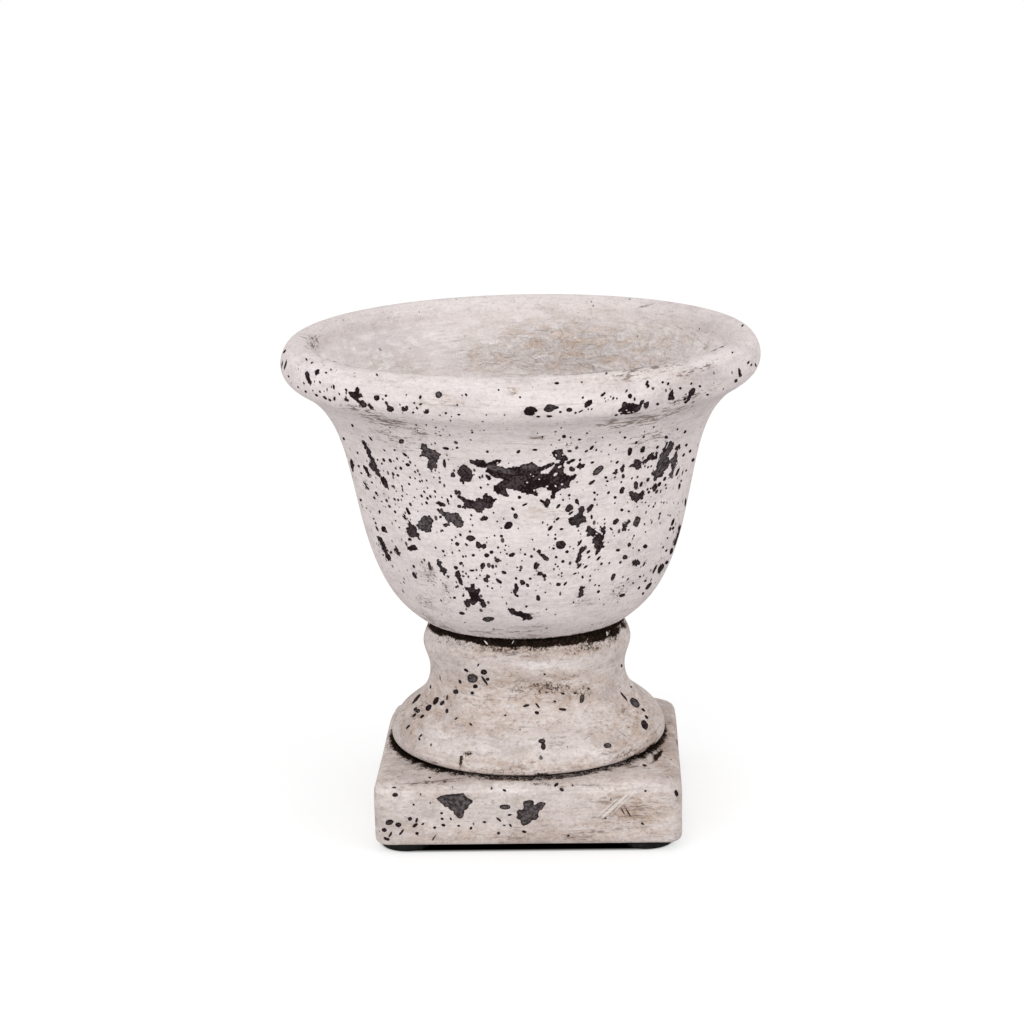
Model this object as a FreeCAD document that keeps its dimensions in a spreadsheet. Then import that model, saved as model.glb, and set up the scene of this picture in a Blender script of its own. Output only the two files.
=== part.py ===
import FreeCAD, Part
import os
import Sketcher
from FreeCAD import Vector

# Pedestal urn planter: a bell-shaped bowl with a rolled rim stands on a waisted foot,
# the foot on a square plinth, and the plinth on four round pads.
# Bowl, foot and plinth are separate castings, set on thin beds of dark mortar.
# +Z is up, and the origin is the centre of the footprint, where the pads touch the ground.

# The driving sizes in millimetres, each with what it measures.
SIZES = [
    ("rim_radius", 91.4, "bowl: outermost radius of the rolled rim"),
    ("rim_width", 11.6, "bowl: rim's outer face to the mouth"),
    ("roll_width", 7.1, "bowl: rim's outer face to its crest"),
    ("roll_depth", 15.7, "bowl: rim's crest down to the underside of the roll"),
    ("lip_round", 3.4, "bowl: round of the mouth's edge"),
    ("neck_radius", 69.3, "bowl: where the wall starts to flare"),
    ("belly_radius", 65.7, "bowl: at half height"),
    ("bowl_overhang", 0.6, "bowl: base beyond the foot's collar"),
    ("bowl_height", 109.5, "bowl: base to crest"),
    ("bowl_wall", 9.0, "bowl: thickness of the wall"),
    ("bowl_floor", 12.0, "bowl: thickness of the floor"),
    ("drain_radius", 6.0, "bowl: hole in the floor"),
    ("collar_radius", 40.4, "foot: bead under the bowl"),
    ("throat_radius", 38.4, "foot: narrowest place"),
    ("foot_radius", 54.0, "foot: rounded base"),
    ("foot_height", 48.7, "foot: base to top"),
    ("foot_wall", 10.0, "foot: thickness at the throat"),
    ("bowl_bed_thickness", 1.5, "mortar under the bowl"),
    ("foot_bed_thickness", 1.1, "mortar under the foot"),
    ("bed_recess", 1.3, "mortar: set back from the castings' edges"),
    ("plinth_side", 116.7, "plinth: side of the square"),
    ("plinth_height", 24.7, "plinth: underside to top"),
    ("corner_round", 6.0, "plinth: upright corners"),
    ("top_round", 4.5, "plinth: top edges"),
    ("bottom_round", 2.5, "plinth: bottom edges"),
    ("hollow_radius", 40.0, "plinth: hollow at the top"),
    ("hollow_taper", 3.0, "plinth: how much wider the hollow is at the bottom"),
    ("pad_radius", 10.0, "pad: standard stick-on disc"),
    ("pad_thickness", 3.0, "pad: standard stick-on disc"),
    ("pad_bevel", 0.5, "pad: lower edge"),
    ("pad_margin", 2.8, "pad: edge to the plinth's side"),
    ("overrun", 2.0, "how far a cutting outline runs past the solid"),
]

# Outlines as rows of shares: of the named radius, and of the height.
BOWL_WALL_SHARES = [
    ("belly_radius", 0.722, 0.041),
    ("belly_radius", 0.830, 0.116),
    ("belly_radius", 0.941, 0.296),
    ("belly_radius", 1.0, 0.491),
    ("neck_radius", 1.0, 0.652),
    ("rim_radius", 0.823, 0.763),
    ("rim_radius", 0.905, 0.832),
]
# Rows of shares of the roll's width, inwards, and of its depth, downwards.
ROLL_SHARES = [(0.394, 1.0), (-0.085, 0.682), (0.056, 0.248), (0.563, 0.0), (1.0, 0.0)]
# The radius is that of the outer wall, so the thickness comes off; heights are above the floor.
CAVITY_SHARES = [
    ("belly_radius", 0.57, 0.0),
    ("belly_radius", 0.80, 0.0),
    ("belly_radius", 0.93, 0.165),
    ("belly_radius", 0.99, 0.42),
    ("neck_radius", 1.0, 0.66),
    ("rim_radius", 0.86, 0.83),
]
MOUTH_SHARES = [(0.985, 0.90), (1.0, 1.0)]
FOOT_SHARES = [
    ("foot_radius", 0.959, 0.0),
    ("foot_radius", 1.013, 0.0),
    ("foot_radius", 0.994, 0.123),
    ("foot_radius", 0.922, 0.226),
    ("throat_radius", 1.047, 0.349),
    ("throat_radius", 0.977, 0.571),
    ("collar_radius", 0.985, 0.723),
    ("collar_radius", 1.027, 0.813),
    ("collar_radius", 0.941, 0.936),
    ("collar_radius", 0.950, 1.0),
    ("collar_radius", 0.911, 1.0),
]
FOOT_HOLLOW_SHARES = [
    ("foot_radius", 0.954, 0.0),
    ("foot_radius", 0.889, 0.185),
    ("throat_radius", 1.0, 0.329),
    ("throat_radius", 1.0, 0.575),
]
# Rounds stay under this share of the round or wall that limits them.
LIMIT_SHARE = 0.9
HALF_SHARE = 0.5

FULL_TURN = 360
SAME = 1e-4
POLE_WEIGHT = 1.0
SPLINE_DEGREE = 3
START_INDEX, END_INDEX, CENTRE_INDEX = range(1, 4)
ORIGIN_INDEX, UPRIGHT_INDEX, LEVEL_INDEX = -1, -2, -1


class Length:
    # A length, kept with the expression that gives it.
    def __init__(self, value, text):
        self.value = value
        self.text = text

    def __add__(self, other):
        return Length(self.value + other.value, "(%s + %s)" % (self.text, other.text))

    def __sub__(self, other):
        return Length(self.value - other.value, "(%s - %s)" % (self.text, other.text))

    def __mul__(self, share):
        return Length(self.value * share, "%s * %s" % (self.text, share))


def smaller(one, other):
    return Length(min(one.value, other.value), "min(%s; %s)" % (one.text, other.text))


doc = FreeCAD.newDocument("Urn")
sheet = doc.addObject("Spreadsheet::Sheet", "Sizes")
size = {}
for row, (name, value, meaning) in enumerate(SIZES, start=1):
    sheet.set("A%d" % row, name)
    sheet.set("B%d" % row, str(value))
    sheet.set("C%d" % row, meaning)
    sheet.setAlias("B%d" % row, name)
    size[name] = Length(value, "Sizes." + name)
doc.recompute()
NIL = Length(0.0, "0")


def new_body(label):
    body = doc.addObject("PartDesign::Body", label)
    body.Label = label
    return body


def new_sketch(body, name, role):
    planes = [item for item in body.Origin.OriginFeatures if item.Role == role]
    sketch = body.newObject("Sketcher::SketchObject", body.Label + "_" + name)
    sketch.AttachmentSupport = [(planes[0], "")]
    sketch.MapMode = "FlatFace"
    return sketch


def bind(sketch, constraint, length):
    index = sketch.addConstraint(constraint)
    sketch.setExpression("Constraints[%d]" % index, length.text)


def hold(sketch, item, end, point):
    # Fixes a point at its two distances from the origin, or on the axis where one is nil.
    for kind, axis, length in (("DistanceX", UPRIGHT_INDEX, point[0]), ("DistanceY", LEVEL_INDEX, point[1])):
        if length is NIL:
            sketch.addConstraint(Sketcher.Constraint("PointOnObject", item, end, axis))
        else:
            bind(sketch, Sketcher.Constraint(kind, ORIGIN_INDEX, START_INDEX, item, end, length.value), length)


def add_spline(sketch, poles, points):
    # A cubic spline that starts and ends on its outer poles.
    spans = len(points) - SPLINE_DEGREE
    ends = [SPLINE_DEGREE + 1]
    knots = [span / spans for span in range(spans + 1)]
    curve = Part.BSplineCurve()
    curve.buildFromPolesMultsKnots(points, ends + [1] * (spans - 1) + ends, knots, False, SPLINE_DEGREE)
    edge = sketch.addGeometry(curve, False)
    for index, point in enumerate(points):
        circle = sketch.addGeometry(Part.Circle(point, Vector(0, 0, 1), POLE_WEIGHT), True)
        sketch.addConstraint(Sketcher.Constraint("Weight", circle, POLE_WEIGHT))
        kind = "InternalAlignment:Sketcher::BSplineControlPoint"
        sketch.addConstraint(Sketcher.Constraint(kind, circle, CENTRE_INDEX, edge, index))
        hold(sketch, circle, CENTRE_INDEX, poles[index])
    return edge


def new_outline(body, name, runs):
    # A closed outline beside the upright axis. A run of two points is straight, a longer one a spline.
    sketch = new_sketch(body, name, "XZ_Plane")
    edges = []
    for run in runs:
        points = [Vector(across.value, up.value, 0) for across, up in run]
        if len(run) == 2:
            edges.append(sketch.addGeometry(Part.LineSegment(*points), False))
        else:
            edges.append(add_spline(sketch, run, points))
    for index, run in enumerate(runs):
        before = index - 1
        sketch.addConstraint(Sketcher.Constraint("Coincident", edges[before], END_INDEX, edges[index], START_INDEX))
        if len(run) == 2 and len(runs[before]) == 2:
            hold(sketch, edges[index], START_INDEX, run[0])
    return sketch


def chain(points):
    # Straight runs from each point to the next.
    return [[start, end] for start, end in zip(points, points[1:])]


def turn(body, kind, name, sketch):
    # Revolves the outline about the upright axis, to add to the body or to cut it.
    before = body.Shape.Volume if kind == "PartDesign::Groove" else 0.0
    feature = body.newObject(kind, body.Label + "_" + name)
    feature.Profile = sketch
    feature.ReferenceAxis = (sketch, ["V_Axis"])
    feature.Angle = FULL_TURN
    doc.recompute()
    if kind == "PartDesign::Groove" and body.Shape.Volume >= before:
        raise RuntimeError(feature.Label + " cuts nothing")


def pad(body, name, circles, length):
    # A disc or ring: circles about the origin, drawn up to a thickness.
    sketch = new_sketch(body, name + "_plan", "XY_Plane")
    for radius in circles:
        circle = sketch.addGeometry(Part.Circle(Vector(), Vector(0, 0, 1), radius.value), False)
        sketch.addConstraint(Sketcher.Constraint("Coincident", circle, CENTRE_INDEX, ORIGIN_INDEX, START_INDEX))
        bind(sketch, Sketcher.Constraint("Radius", circle, radius.value), radius)
    feature = body.newObject("PartDesign::Pad", body.Label + "_" + name)
    feature.Profile = sketch
    feature.setExpression("Length", length.text)
    doc.recompute()


def is_upright(edge, height):
    return abs(edge.BoundBox.ZLength - height.value) < SAME


def is_level(edge, height):
    box = edge.BoundBox
    return abs(box.ZMin - height.value) < SAME and abs(box.ZMax - height.value) < SAME


def is_circle(edge, radius, height):
    return is_level(edge, height) and abs(edge.BoundBox.XMax - radius.value) < SAME


def soften(body, kind, name, length, test, *places):
    # Rounds or bevels the edges that the test finds at the given places.
    base = body.Tip
    edges = ["Edge%d" % number for number, edge in enumerate(base.Shape.Edges, start=1) if test(edge, *places)]
    feature = body.newObject(kind, body.Label + "_" + name)
    feature.Base = (base, edges)
    feature.setExpression("Radius" if kind == "PartDesign::Fillet" else "Size", length.text)
    doc.recompute()


def place(body, across, deep, up):
    for axis, length in (("x", across), ("y", deep), ("z", up)):
        body.setExpression("Placement.Base." + axis, length.text)


# Heights at which the pieces stand, from the ground up.
plinth_level = size["pad_thickness"]
foot_bed_level = plinth_level + size["plinth_height"]
foot_level = foot_bed_level + size["foot_bed_thickness"]
bowl_bed_level = foot_level + size["foot_height"]
bowl_level = bowl_bed_level + size["bowl_bed_thickness"]


def make_bowl():
    # The bell: narrow base, full belly, flaring neck and a rolled rim, hollowed to an even wall.
    body = new_body("bowl")
    height = size["bowl_height"]
    base = (size["collar_radius"] + size["bowl_overhang"], NIL)
    wall = [(size[name] * share, height * up) for name, share, up in BOWL_WALL_SHARES]
    roll = [
        (size["rim_radius"] - size["roll_width"] * inwards, height - size["roll_depth"] * down)
        for inwards, down in ROLL_SHARES
    ]
    crest = roll[-1]
    sides = chain([crest, (NIL, height), (NIL, NIL), base])
    turn(body, "PartDesign::Revolution", "bell", new_outline(body, "outside", [[base] + wall + roll] + sides))

    floor = size["bowl_floor"]
    mouth_radius = size["rim_radius"] - size["rim_width"]
    inside = [
        (size[name] * share - size["bowl_wall"], floor + (height - floor) * up)
        for name, share, up in CAVITY_SHARES
    ]
    inside += [(mouth_radius * share, floor + (height - floor) * up) for share, up in MOUTH_SHARES]
    above = height + size["overrun"]
    sides = chain([inside[-1], (mouth_radius, above), (NIL, above), (NIL, floor), inside[0]])
    turn(body, "PartDesign::Groove", "cavity", new_outline(body, "inside", [inside] + sides))

    # The water drains through the floor into the hollow foot.
    below = NIL - size["overrun"]
    edge = size["drain_radius"]
    through = floor + size["overrun"]
    corners = [(NIL, below), (edge, below), (edge, through), (NIL, through), (NIL, below)]
    turn(body, "PartDesign::Groove", "drain", new_outline(body, "drain_outline", chain(corners)))

    flat = (size["rim_width"] - size["roll_width"]) * LIMIT_SHARE
    soften(body, "PartDesign::Fillet", "lip", smaller(size["lip_round"], flat), is_circle, mouth_radius, height)
    place(body, NIL, NIL, bowl_level)
    return body


def make_foot():
    # The waisted foot, from a rounded base through the throat to a bead, open from end to end.
    body = new_body("foot")
    height = size["foot_height"]
    outside = [(size[name] * share, height * up) for name, share, up in FOOT_SHARES]
    sides = chain([outside[-1], (NIL, height), (NIL, NIL), outside[0]])
    turn(body, "PartDesign::Revolution", "spool", new_outline(body, "outside", [outside] + sides))

    inside = [
        (size[name] * share - size["foot_wall"], height * up) for name, share, up in FOOT_HOLLOW_SHARES
    ]
    below = NIL - size["overrun"]
    above = height + size["overrun"]
    bore, flare = inside[-1][0], inside[0][0]
    sides = chain([inside[-1], (bore, above), (NIL, above), (NIL, below), (flare, below), inside[0]])
    turn(body, "PartDesign::Groove", "hollow", new_outline(body, "inside", [inside] + sides))
    place(body, NIL, NIL, foot_level)
    return body


def make_bed(label, outer, inner, thickness, up):
    # A ring of mortar, set back from the edges of the castings that it joins.
    body = new_body(label)
    recess = size["bed_recess"]
    pad(body, "ring", [outer - recess, inner + recess], thickness)
    place(body, NIL, NIL, up)
    return body


def make_plinth():
    # A square slab with softened edges, hollowed by a round opening that widens downwards.
    body = new_body("plinth")
    half = size["plinth_side"] * HALF_SHARE
    height = size["plinth_height"]
    sketch = new_sketch(body, "square", "XY_Plane")
    corners = [(NIL - half, NIL - half), (half, NIL - half), (half, half), (NIL - half, half)]
    edges = []
    for start, end in zip(corners, corners[1:] + corners[:1]):
        points = [Vector(across.value, deep.value, 0) for across, deep in (start, end)]
        edges.append(sketch.addGeometry(Part.LineSegment(*points), False))
    for index, corner in enumerate(corners):
        before = edges[index - 1]
        sketch.addConstraint(Sketcher.Constraint("Coincident", before, END_INDEX, edges[index], START_INDEX))
        hold(sketch, edges[index], START_INDEX, corner)
    slab = body.newObject("PartDesign::Pad", "plinth_slab")
    slab.Profile = sketch
    slab.setExpression("Length", height.text)
    doc.recompute()

    corner_round = size["corner_round"]
    soften(body, "PartDesign::Fillet", "corners", corner_round, is_upright, height)
    for name, up in (("top_round", height), ("bottom_round", NIL)):
        soften(body, "PartDesign::Fillet", name, smaller(size[name], corner_round * LIMIT_SHARE), is_level, up)

    top = size["hollow_radius"]
    bottom = top + size["hollow_taper"]
    outline = [(top, height), (NIL, height), (NIL, NIL), (bottom, NIL), (top, height)]
    turn(body, "PartDesign::Groove", "hollow", new_outline(body, "hollow_outline", chain(outline)))
    place(body, NIL, NIL, plinth_level)
    return body


def make_pad(label, side, end):
    # A round pad under one corner of the plinth.
    body = new_body(label)
    pad(body, "disc", [size["pad_radius"]], size["pad_thickness"])
    limit = size["pad_thickness"] * HALF_SHARE
    soften(body, "PartDesign::Chamfer", "edge", smaller(size["pad_bevel"], limit), is_level, NIL)
    reach = size["plinth_side"] * HALF_SHARE - size["pad_margin"] - size["pad_radius"]
    place(body, reach * side, reach * end, NIL)
    return body


bodies = [make_plinth(), make_foot(), make_bowl()]

foot_base_radius = size[FOOT_SHARES[0][0]] * FOOT_SHARES[0][1]
foot_hollow_radius = size[FOOT_HOLLOW_SHARES[0][0]] * FOOT_HOLLOW_SHARES[0][1] - size["foot_wall"]
thickness = size["foot_bed_thickness"]
bodies.append(make_bed("foot_bed", foot_base_radius, foot_hollow_radius, thickness, foot_bed_level))

foot_top_radius = size[FOOT_SHARES[-1][0]] * FOOT_SHARES[-1][1]
foot_bore_radius = size[FOOT_HOLLOW_SHARES[-1][0]] * FOOT_HOLLOW_SHARES[-1][1] - size["foot_wall"]
thickness = size["bowl_bed_thickness"]
bodies.append(make_bed("bowl_bed", foot_top_radius, foot_bore_radius, thickness, bowl_bed_level))

for end_name, end in (("front", -1), ("back", 1)):
    for side_name, side in (("left", -1), ("right", 1)):
        bodies.append(make_pad("pad_%s_%s" % (end_name, side_name), side, end))

doc.recompute()
for item in doc.Objects:
    if "Invalid" in item.State or "Error" in item.State:
        raise RuntimeError("%s: %s" % (item.Label, item.State))
for body in bodies:
    if body.Shape.isNull() or not body.Shape.isValid():
        raise RuntimeError(body.Label + " has no valid shape")

os.makedirs("parts", exist_ok=True)
for body in bodies:
    body.Shape.exportStep("parts/%s.step" % body.Label)
    box = body.Shape.BoundBox
    print("%-16s volume %9.0f  z %7.2f to %7.2f  radius %6.2f" % (
        body.Label, body.Shape.Volume, box.ZMin, box.ZMax, box.XLength * HALF_SHARE))
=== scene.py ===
import math
import bmesh
import bpy
import numpy as np
from mathutils import Matrix, Vector


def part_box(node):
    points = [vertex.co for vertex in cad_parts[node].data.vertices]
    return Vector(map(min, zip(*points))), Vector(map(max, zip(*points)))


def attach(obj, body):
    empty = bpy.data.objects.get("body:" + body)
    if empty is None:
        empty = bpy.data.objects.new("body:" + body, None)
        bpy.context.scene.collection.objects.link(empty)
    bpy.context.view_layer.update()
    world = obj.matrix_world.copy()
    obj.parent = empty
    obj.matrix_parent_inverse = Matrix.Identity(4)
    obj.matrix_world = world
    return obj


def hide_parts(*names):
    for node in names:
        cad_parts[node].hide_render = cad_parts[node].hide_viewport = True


# A small terracotta urn planter: bell bowl on a waisted foot and a square plinth,
# washed with pale lime paint that has chipped off to the dark clay beneath.
# Sizes are millimetres, the places of marks are pixels of the 1024 x 1024 photograph.

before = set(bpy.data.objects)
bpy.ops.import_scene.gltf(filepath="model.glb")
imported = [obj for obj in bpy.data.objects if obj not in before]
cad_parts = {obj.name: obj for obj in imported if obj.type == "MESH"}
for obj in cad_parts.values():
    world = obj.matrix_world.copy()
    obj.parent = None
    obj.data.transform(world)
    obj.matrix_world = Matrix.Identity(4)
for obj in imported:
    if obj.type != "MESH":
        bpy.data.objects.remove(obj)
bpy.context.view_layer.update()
mm = 0.001
print("frame loaded")

camera = {
    "distance": 1.0, "height": 0.37674,  # metres, from the axis and above the ground
    "pitch": 14.512, "roll": 1.302,  # degrees
    "turn": 2.0,  # the plinth stands slightly turned
    "lens": 93.75, "sensor": 36, "nearest": 0.05,
    "axisPixel": 523.96,  # the column where the axis of the urn falls
    "picture": 1024,
}


def makeCamera():
    data = bpy.data.cameras.new("camera")
    data.lens = camera["lens"]
    data.sensor_width = camera["sensor"]
    data.shift_x = (camera["picture"] / 2 - camera["axisPixel"]) / camera["picture"]
    data.clip_start = camera["nearest"]
    shot = bpy.data.objects.new("camera", data)
    bpy.context.scene.collection.objects.link(shot)
    turn = Matrix.Rotation(math.radians(camera["turn"]), 4, "Z")
    place = Matrix.Translation((0, -camera["distance"], camera["height"]))
    tilt = Matrix.Rotation(math.radians(90 - camera["pitch"]), 4, "X")
    roll = Matrix.Rotation(math.radians(-camera["roll"]), 4, "Z")
    shot.matrix_world = turn @ place @ tilt @ roll
    bpy.context.scene.camera = shot
    return shot


shot = makeCamera()
print("camera set")


# chips, where the photograph shows them: (x, y, half length, half width, tilt)
rimChips = [
    (326.1, 372.7, .9, .8, 0), (311.8, 362.8, 1.5, .8, -30), (285.5, 364.7, 4.5, .8, -75),
    (282, 364.7, 4, .5, -80), (284.3, 351.6, 2, .8, -50), (333.8, 387, 2.5, .8, 80), (346.2, 389.9, 1.5, 1, 45),
    (385.9, 395.8, 1.2, 1.2, 0), (346.5, 399.8, 2.5, 1.4, 20), (325, 397.9, 2.2, 1, 40),
    (329.8, 400.1, 1.5, .9, 40), (316.6, 395.3, 1.6, .9, 40), (334.6, 398.5, 2, .9, 90), (414.3, 403, 1, 1, 0),
    (420.2, 397.4, 1.8, 1.2, -70), (420.4, 404.3, 1.6, .9, -20), (413.2, 412.6, 1, 1, 0),
    (445.9, 413.3, 1, 1, 0), (458.9, 414.6, 1.2, .8, 0), (556.8, 383.2, 2.1, 1.2, 0), (581.8, 382.3, .9, .8, 0),
    (549.4, 416.4, 2.6, 1, 0), (569.4, 409.8, 3, 1.9, 0), (560.3, 412.1, 1.3, 1, 0), (538.2, 416.7, 1.5, .8, 0),
    (580.9, 411.2, 2.2, .8, -30), (626.6, 390.9, 1.9, .7, -55), (630, 396.1, 2.4, 1.9, -60),
    (634.8, 399.2, 1.5, .9, 90), (657.6, 404.2, 1.4, 1.2, 0), (616.2, 415, 1.6, .9, -20),
    (662.7, 382.3, 1.1, .9, 0), (680.5, 388.3, 1.2, 1.2, 0), (699.8, 386.3, 1.1, 1, 0),
    (707.5, 394.7, 1, .9, 0), (755.7, 365.1, 2, .6, 70),
]
neckChips = [
    (370.4, 438.4, 2.5, .8, 50), (445.8, 448.5, 3, 1.4, 10), (457, 447.8, 1.3, 1, 0), (487.4, 451.7, 1.2, 1, 0),
    (435.8, 427.7, .9, .7, 0), (472.2, 432.5, .9, .8, 0), (564.1, 436.5, 1.8, 1.5, 0),
    (579.3, 439.6, 1.2, 1, 0), (587, 433.1, .9, .7, 0), (624.9, 437.6, 1.2, 1, 0), (636.2, 442.6, 1.5, 1, -45),
    (666.3, 437.4, 1.6, 1.5, 0), (534.9, 449.8, 2.5, 1, 0), (569.6, 451.2, 2, 1.2, 0),
    (591.7, 447.8, 2.8, 1.2, -45), (586.4, 451.2, 1.8, .9, -30), (592.4, 462.5, 1.6, 1, -20),
    (629.9, 451.7, 4, 1.9, -80), (642.6, 449.4, 3, 1.8, -60),
]
leftChips = [
    (405, 454.8, 2.8, 1.1, 40), (407.7, 464.8, 2.2, 1.5, 20), (444.5, 463.5, 4, 1.4, 85),
    (453.2, 475.3, 2.7, 1.9, 35), (439.8, 482.2, 1, 1, 0), (440.5, 517, 1.2, 1.2, 0), (410.4, 504.3, 2, 1, 60),
    (376.9, 528.4, 3, .8, 65), (390.9, 552.5, 1.2, 1.2, 0), (441.2, 504.3, 4.6, 1.8, 25),
    (447.9, 501, 2.5, 1, 75), (451.2, 496.3, 1.4, 1, 60), (484, 518.7, 4, 1.8, -5),
    (470.6, 538.2, 4.2, 2.6, 10), (457.2, 544.1, 1.9, 1.7, 0), (466.6, 544.8, 1.7, .9, 35),
    (478.7, 545.2, 3.5, 2.4, 70), (484, 546.5, 2.5, 2, 0), (508.1, 525.4, 4.3, 3.2, -35),
    (515.5, 516.1, 2.3, 2.1, 0), (512.8, 509, 2.1, 1.2, 40), (486.7, 555.2, 2.5, 1.8, 20),
    (473.3, 555.2, 1.4, 1.3, 0), (491.4, 552.3, 1.8, 1.5, 0), (482.7, 565.9, 3, 2, -75),
    (492.7, 566.6, 2, 1.5, 90), (497.4, 560.6, 2.1, 1.8, 0), (461, 563.5, 1.7, 1.5, 0),
    (455.9, 567.7, 2.1, 1.6, 30), (429.8, 566.6, 4.5, 1.3, 75), (414.4, 575.3, 3.6, 1.5, 60),
    (472, 570.6, 2.1, 1, 0), (486, 580, 2.6, 2.2, 30), (488, 576.6, 1.8, 1.6, 0), (499, 581.3, 3.5, 1.5, 40),
    (504.1, 572.6, 2.4, 1.5, 20), (510.8, 555.2, 2, 1.6, -30), (501.4, 536.2, 1.4, 1.3, 0),
    (461.9, 613.2, 2.6, 1.5, 15), (454.5, 597.8, 1.3, 1.1, 0), (463.3, 595.7, 1, 1, 0), (456.2, 587.1, 1, 1, 0),
]
rightChips = [
    (519.4, 497.4, 1.6, 1.5, 0), (524.8, 504.7, 2.6, 1, -25), (591.7, 482.6, 3.5, 1.3, -38),
    (617.2, 462.4, 1.7, 1, -45), (605.8, 477.5, 1.4, 1.1, 0), (607.4, 481.2, 1.2, 1, 0),
    (623.2, 476.2, 2, 1.4, 90), (678.1, 447.4, 2.8, 1.7, -45), (677.5, 472.2, 4, 1, -65),
    (657.4, 447.4, 1.7, 1.1, -45), (635.9, 485.6, 4, 1.8, 90), (641.3, 484.2, 2.6, 1.2, -65),
    (622.1, 490.3, 3.4, 2.4, -60), (654.7, 487.6, 4, 1.9, -75), (659.4, 484.2, 2.6, 1.4, -50),
    (648, 479.6, 2.1, 1.4, -60), (664.7, 478.9, 2.3, 1.2, -55), (656.7, 491.6, 2, 1, -65),
    (679.5, 486.2, 3, 1.1, -80), (685.5, 502.3, 4, .8, -85), (615.2, 497.4, 1.5, 1.3, 0),
    (608.5, 492.7, 1.5, 1, -45), (594.4, 492.7, 1.2, 1.2, 0), (594.7, 499.6, 1.2, .9, 90),
    (590.4, 508.3, 4.3, 1.9, -58), (591.7, 517, 2, 1, 90), (569, 508.3, 4, 3, -50), (577, 501.6, 3, 1.9, 60),
    (571, 513, 3, 1, -35), (558.3, 506.3, 2.5, 1.2, -50), (557.6, 519, 2.1, 1, -35),
    (550.2, 528.4, 3, 1.4, -50), (561.6, 529.1, 1.5, 1, -10), (615.8, 521.7, 3.3, 2.1, -45),
    (621.9, 510, 1.4, 1.3, 0), (628.8, 511.4, 1.1, 1, 0), (611.2, 529.1, 1.7, .8, 40),
    (560.9, 544.8, 5, 3.8, 0), (553.6, 548.5, 1.3, 1.1, 0), (567, 551.9, 1.6, 1.4, 0),
    (512.7, 554.5, 2.4, 1.8, -20), (531.5, 556.6, 1.4, 1.2, 0), (540.2, 573.7, 2.4, 1.8, 0),
    (544.2, 575.7, 1.9, 1.7, 30), (577.4, 561.2, 2.1, 1.8, 0), (579.7, 543.2, 4, 1, -55),
    (588.4, 551.9, 2.2, 1.2, -45), (589.1, 557.2, 1.9, .8, -45), (598.4, 558.6, 2.6, 1, -45),
    (556.2, 557.2, 1.2, 1.2, 0), (562.9, 561.5, 1.4, 1.3, 0), (617.9, 550.3, 2, 1.3, 0),
    (625.2, 557.2, 2.6, 1.8, 10), (629.2, 544.8, 2, 1.6, -70), (645.3, 546.5, 2.2, 2, 0),
    (638.9, 550.1, 1, 1, 0), (644, 564.3, 2.6, .8, -60), (666.7, 562.6, 2, 1.4, -50),
    (660.7, 568.6, 5.2, 2, -60), (654.7, 569.3, 4.5, .9, -65), (613.2, 577, 3.4, 1.7, -65),
    (648.7, 586, 4.6, 1.5, -50), (640, 576.6, 1.1, .9, 0), (645.3, 581, 1.6, .8, -40),
    (579.3, 565.9, 3.5, 1, -50), (585.7, 566.9, 2.6, 1, -40), (575, 573.7, 1.9, .8, -25),
    (582.6, 577.3, 1.3, 1, 90), (558.3, 584.4, 2, 1.6, 0), (565, 584, 2.4, 1, -50),
    (598.4, 591.8, 1.5, 1.2, -40), (599.1, 585.6, .9, .9, 0), (522.8, 582.7, 2.7, 2, 30),
    (527.5, 585.4, 2, 1.4, 60), (520.1, 570.4, 1.2, 1.1, 0), (530.1, 578.7, 1.2, 1.1, 0),
    (538.2, 598.1, 2.8, 1.7, 65), (526.5, 606.4, 1, 1, 0), (622.1, 595.4, 3, 1.4, -20),
    (672.8, 522.4, 4, 1.2, -70), (671.4, 551.2, 3.5, 1.4, -70), (670.1, 529.1, 2, .9, -70),
]
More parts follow.
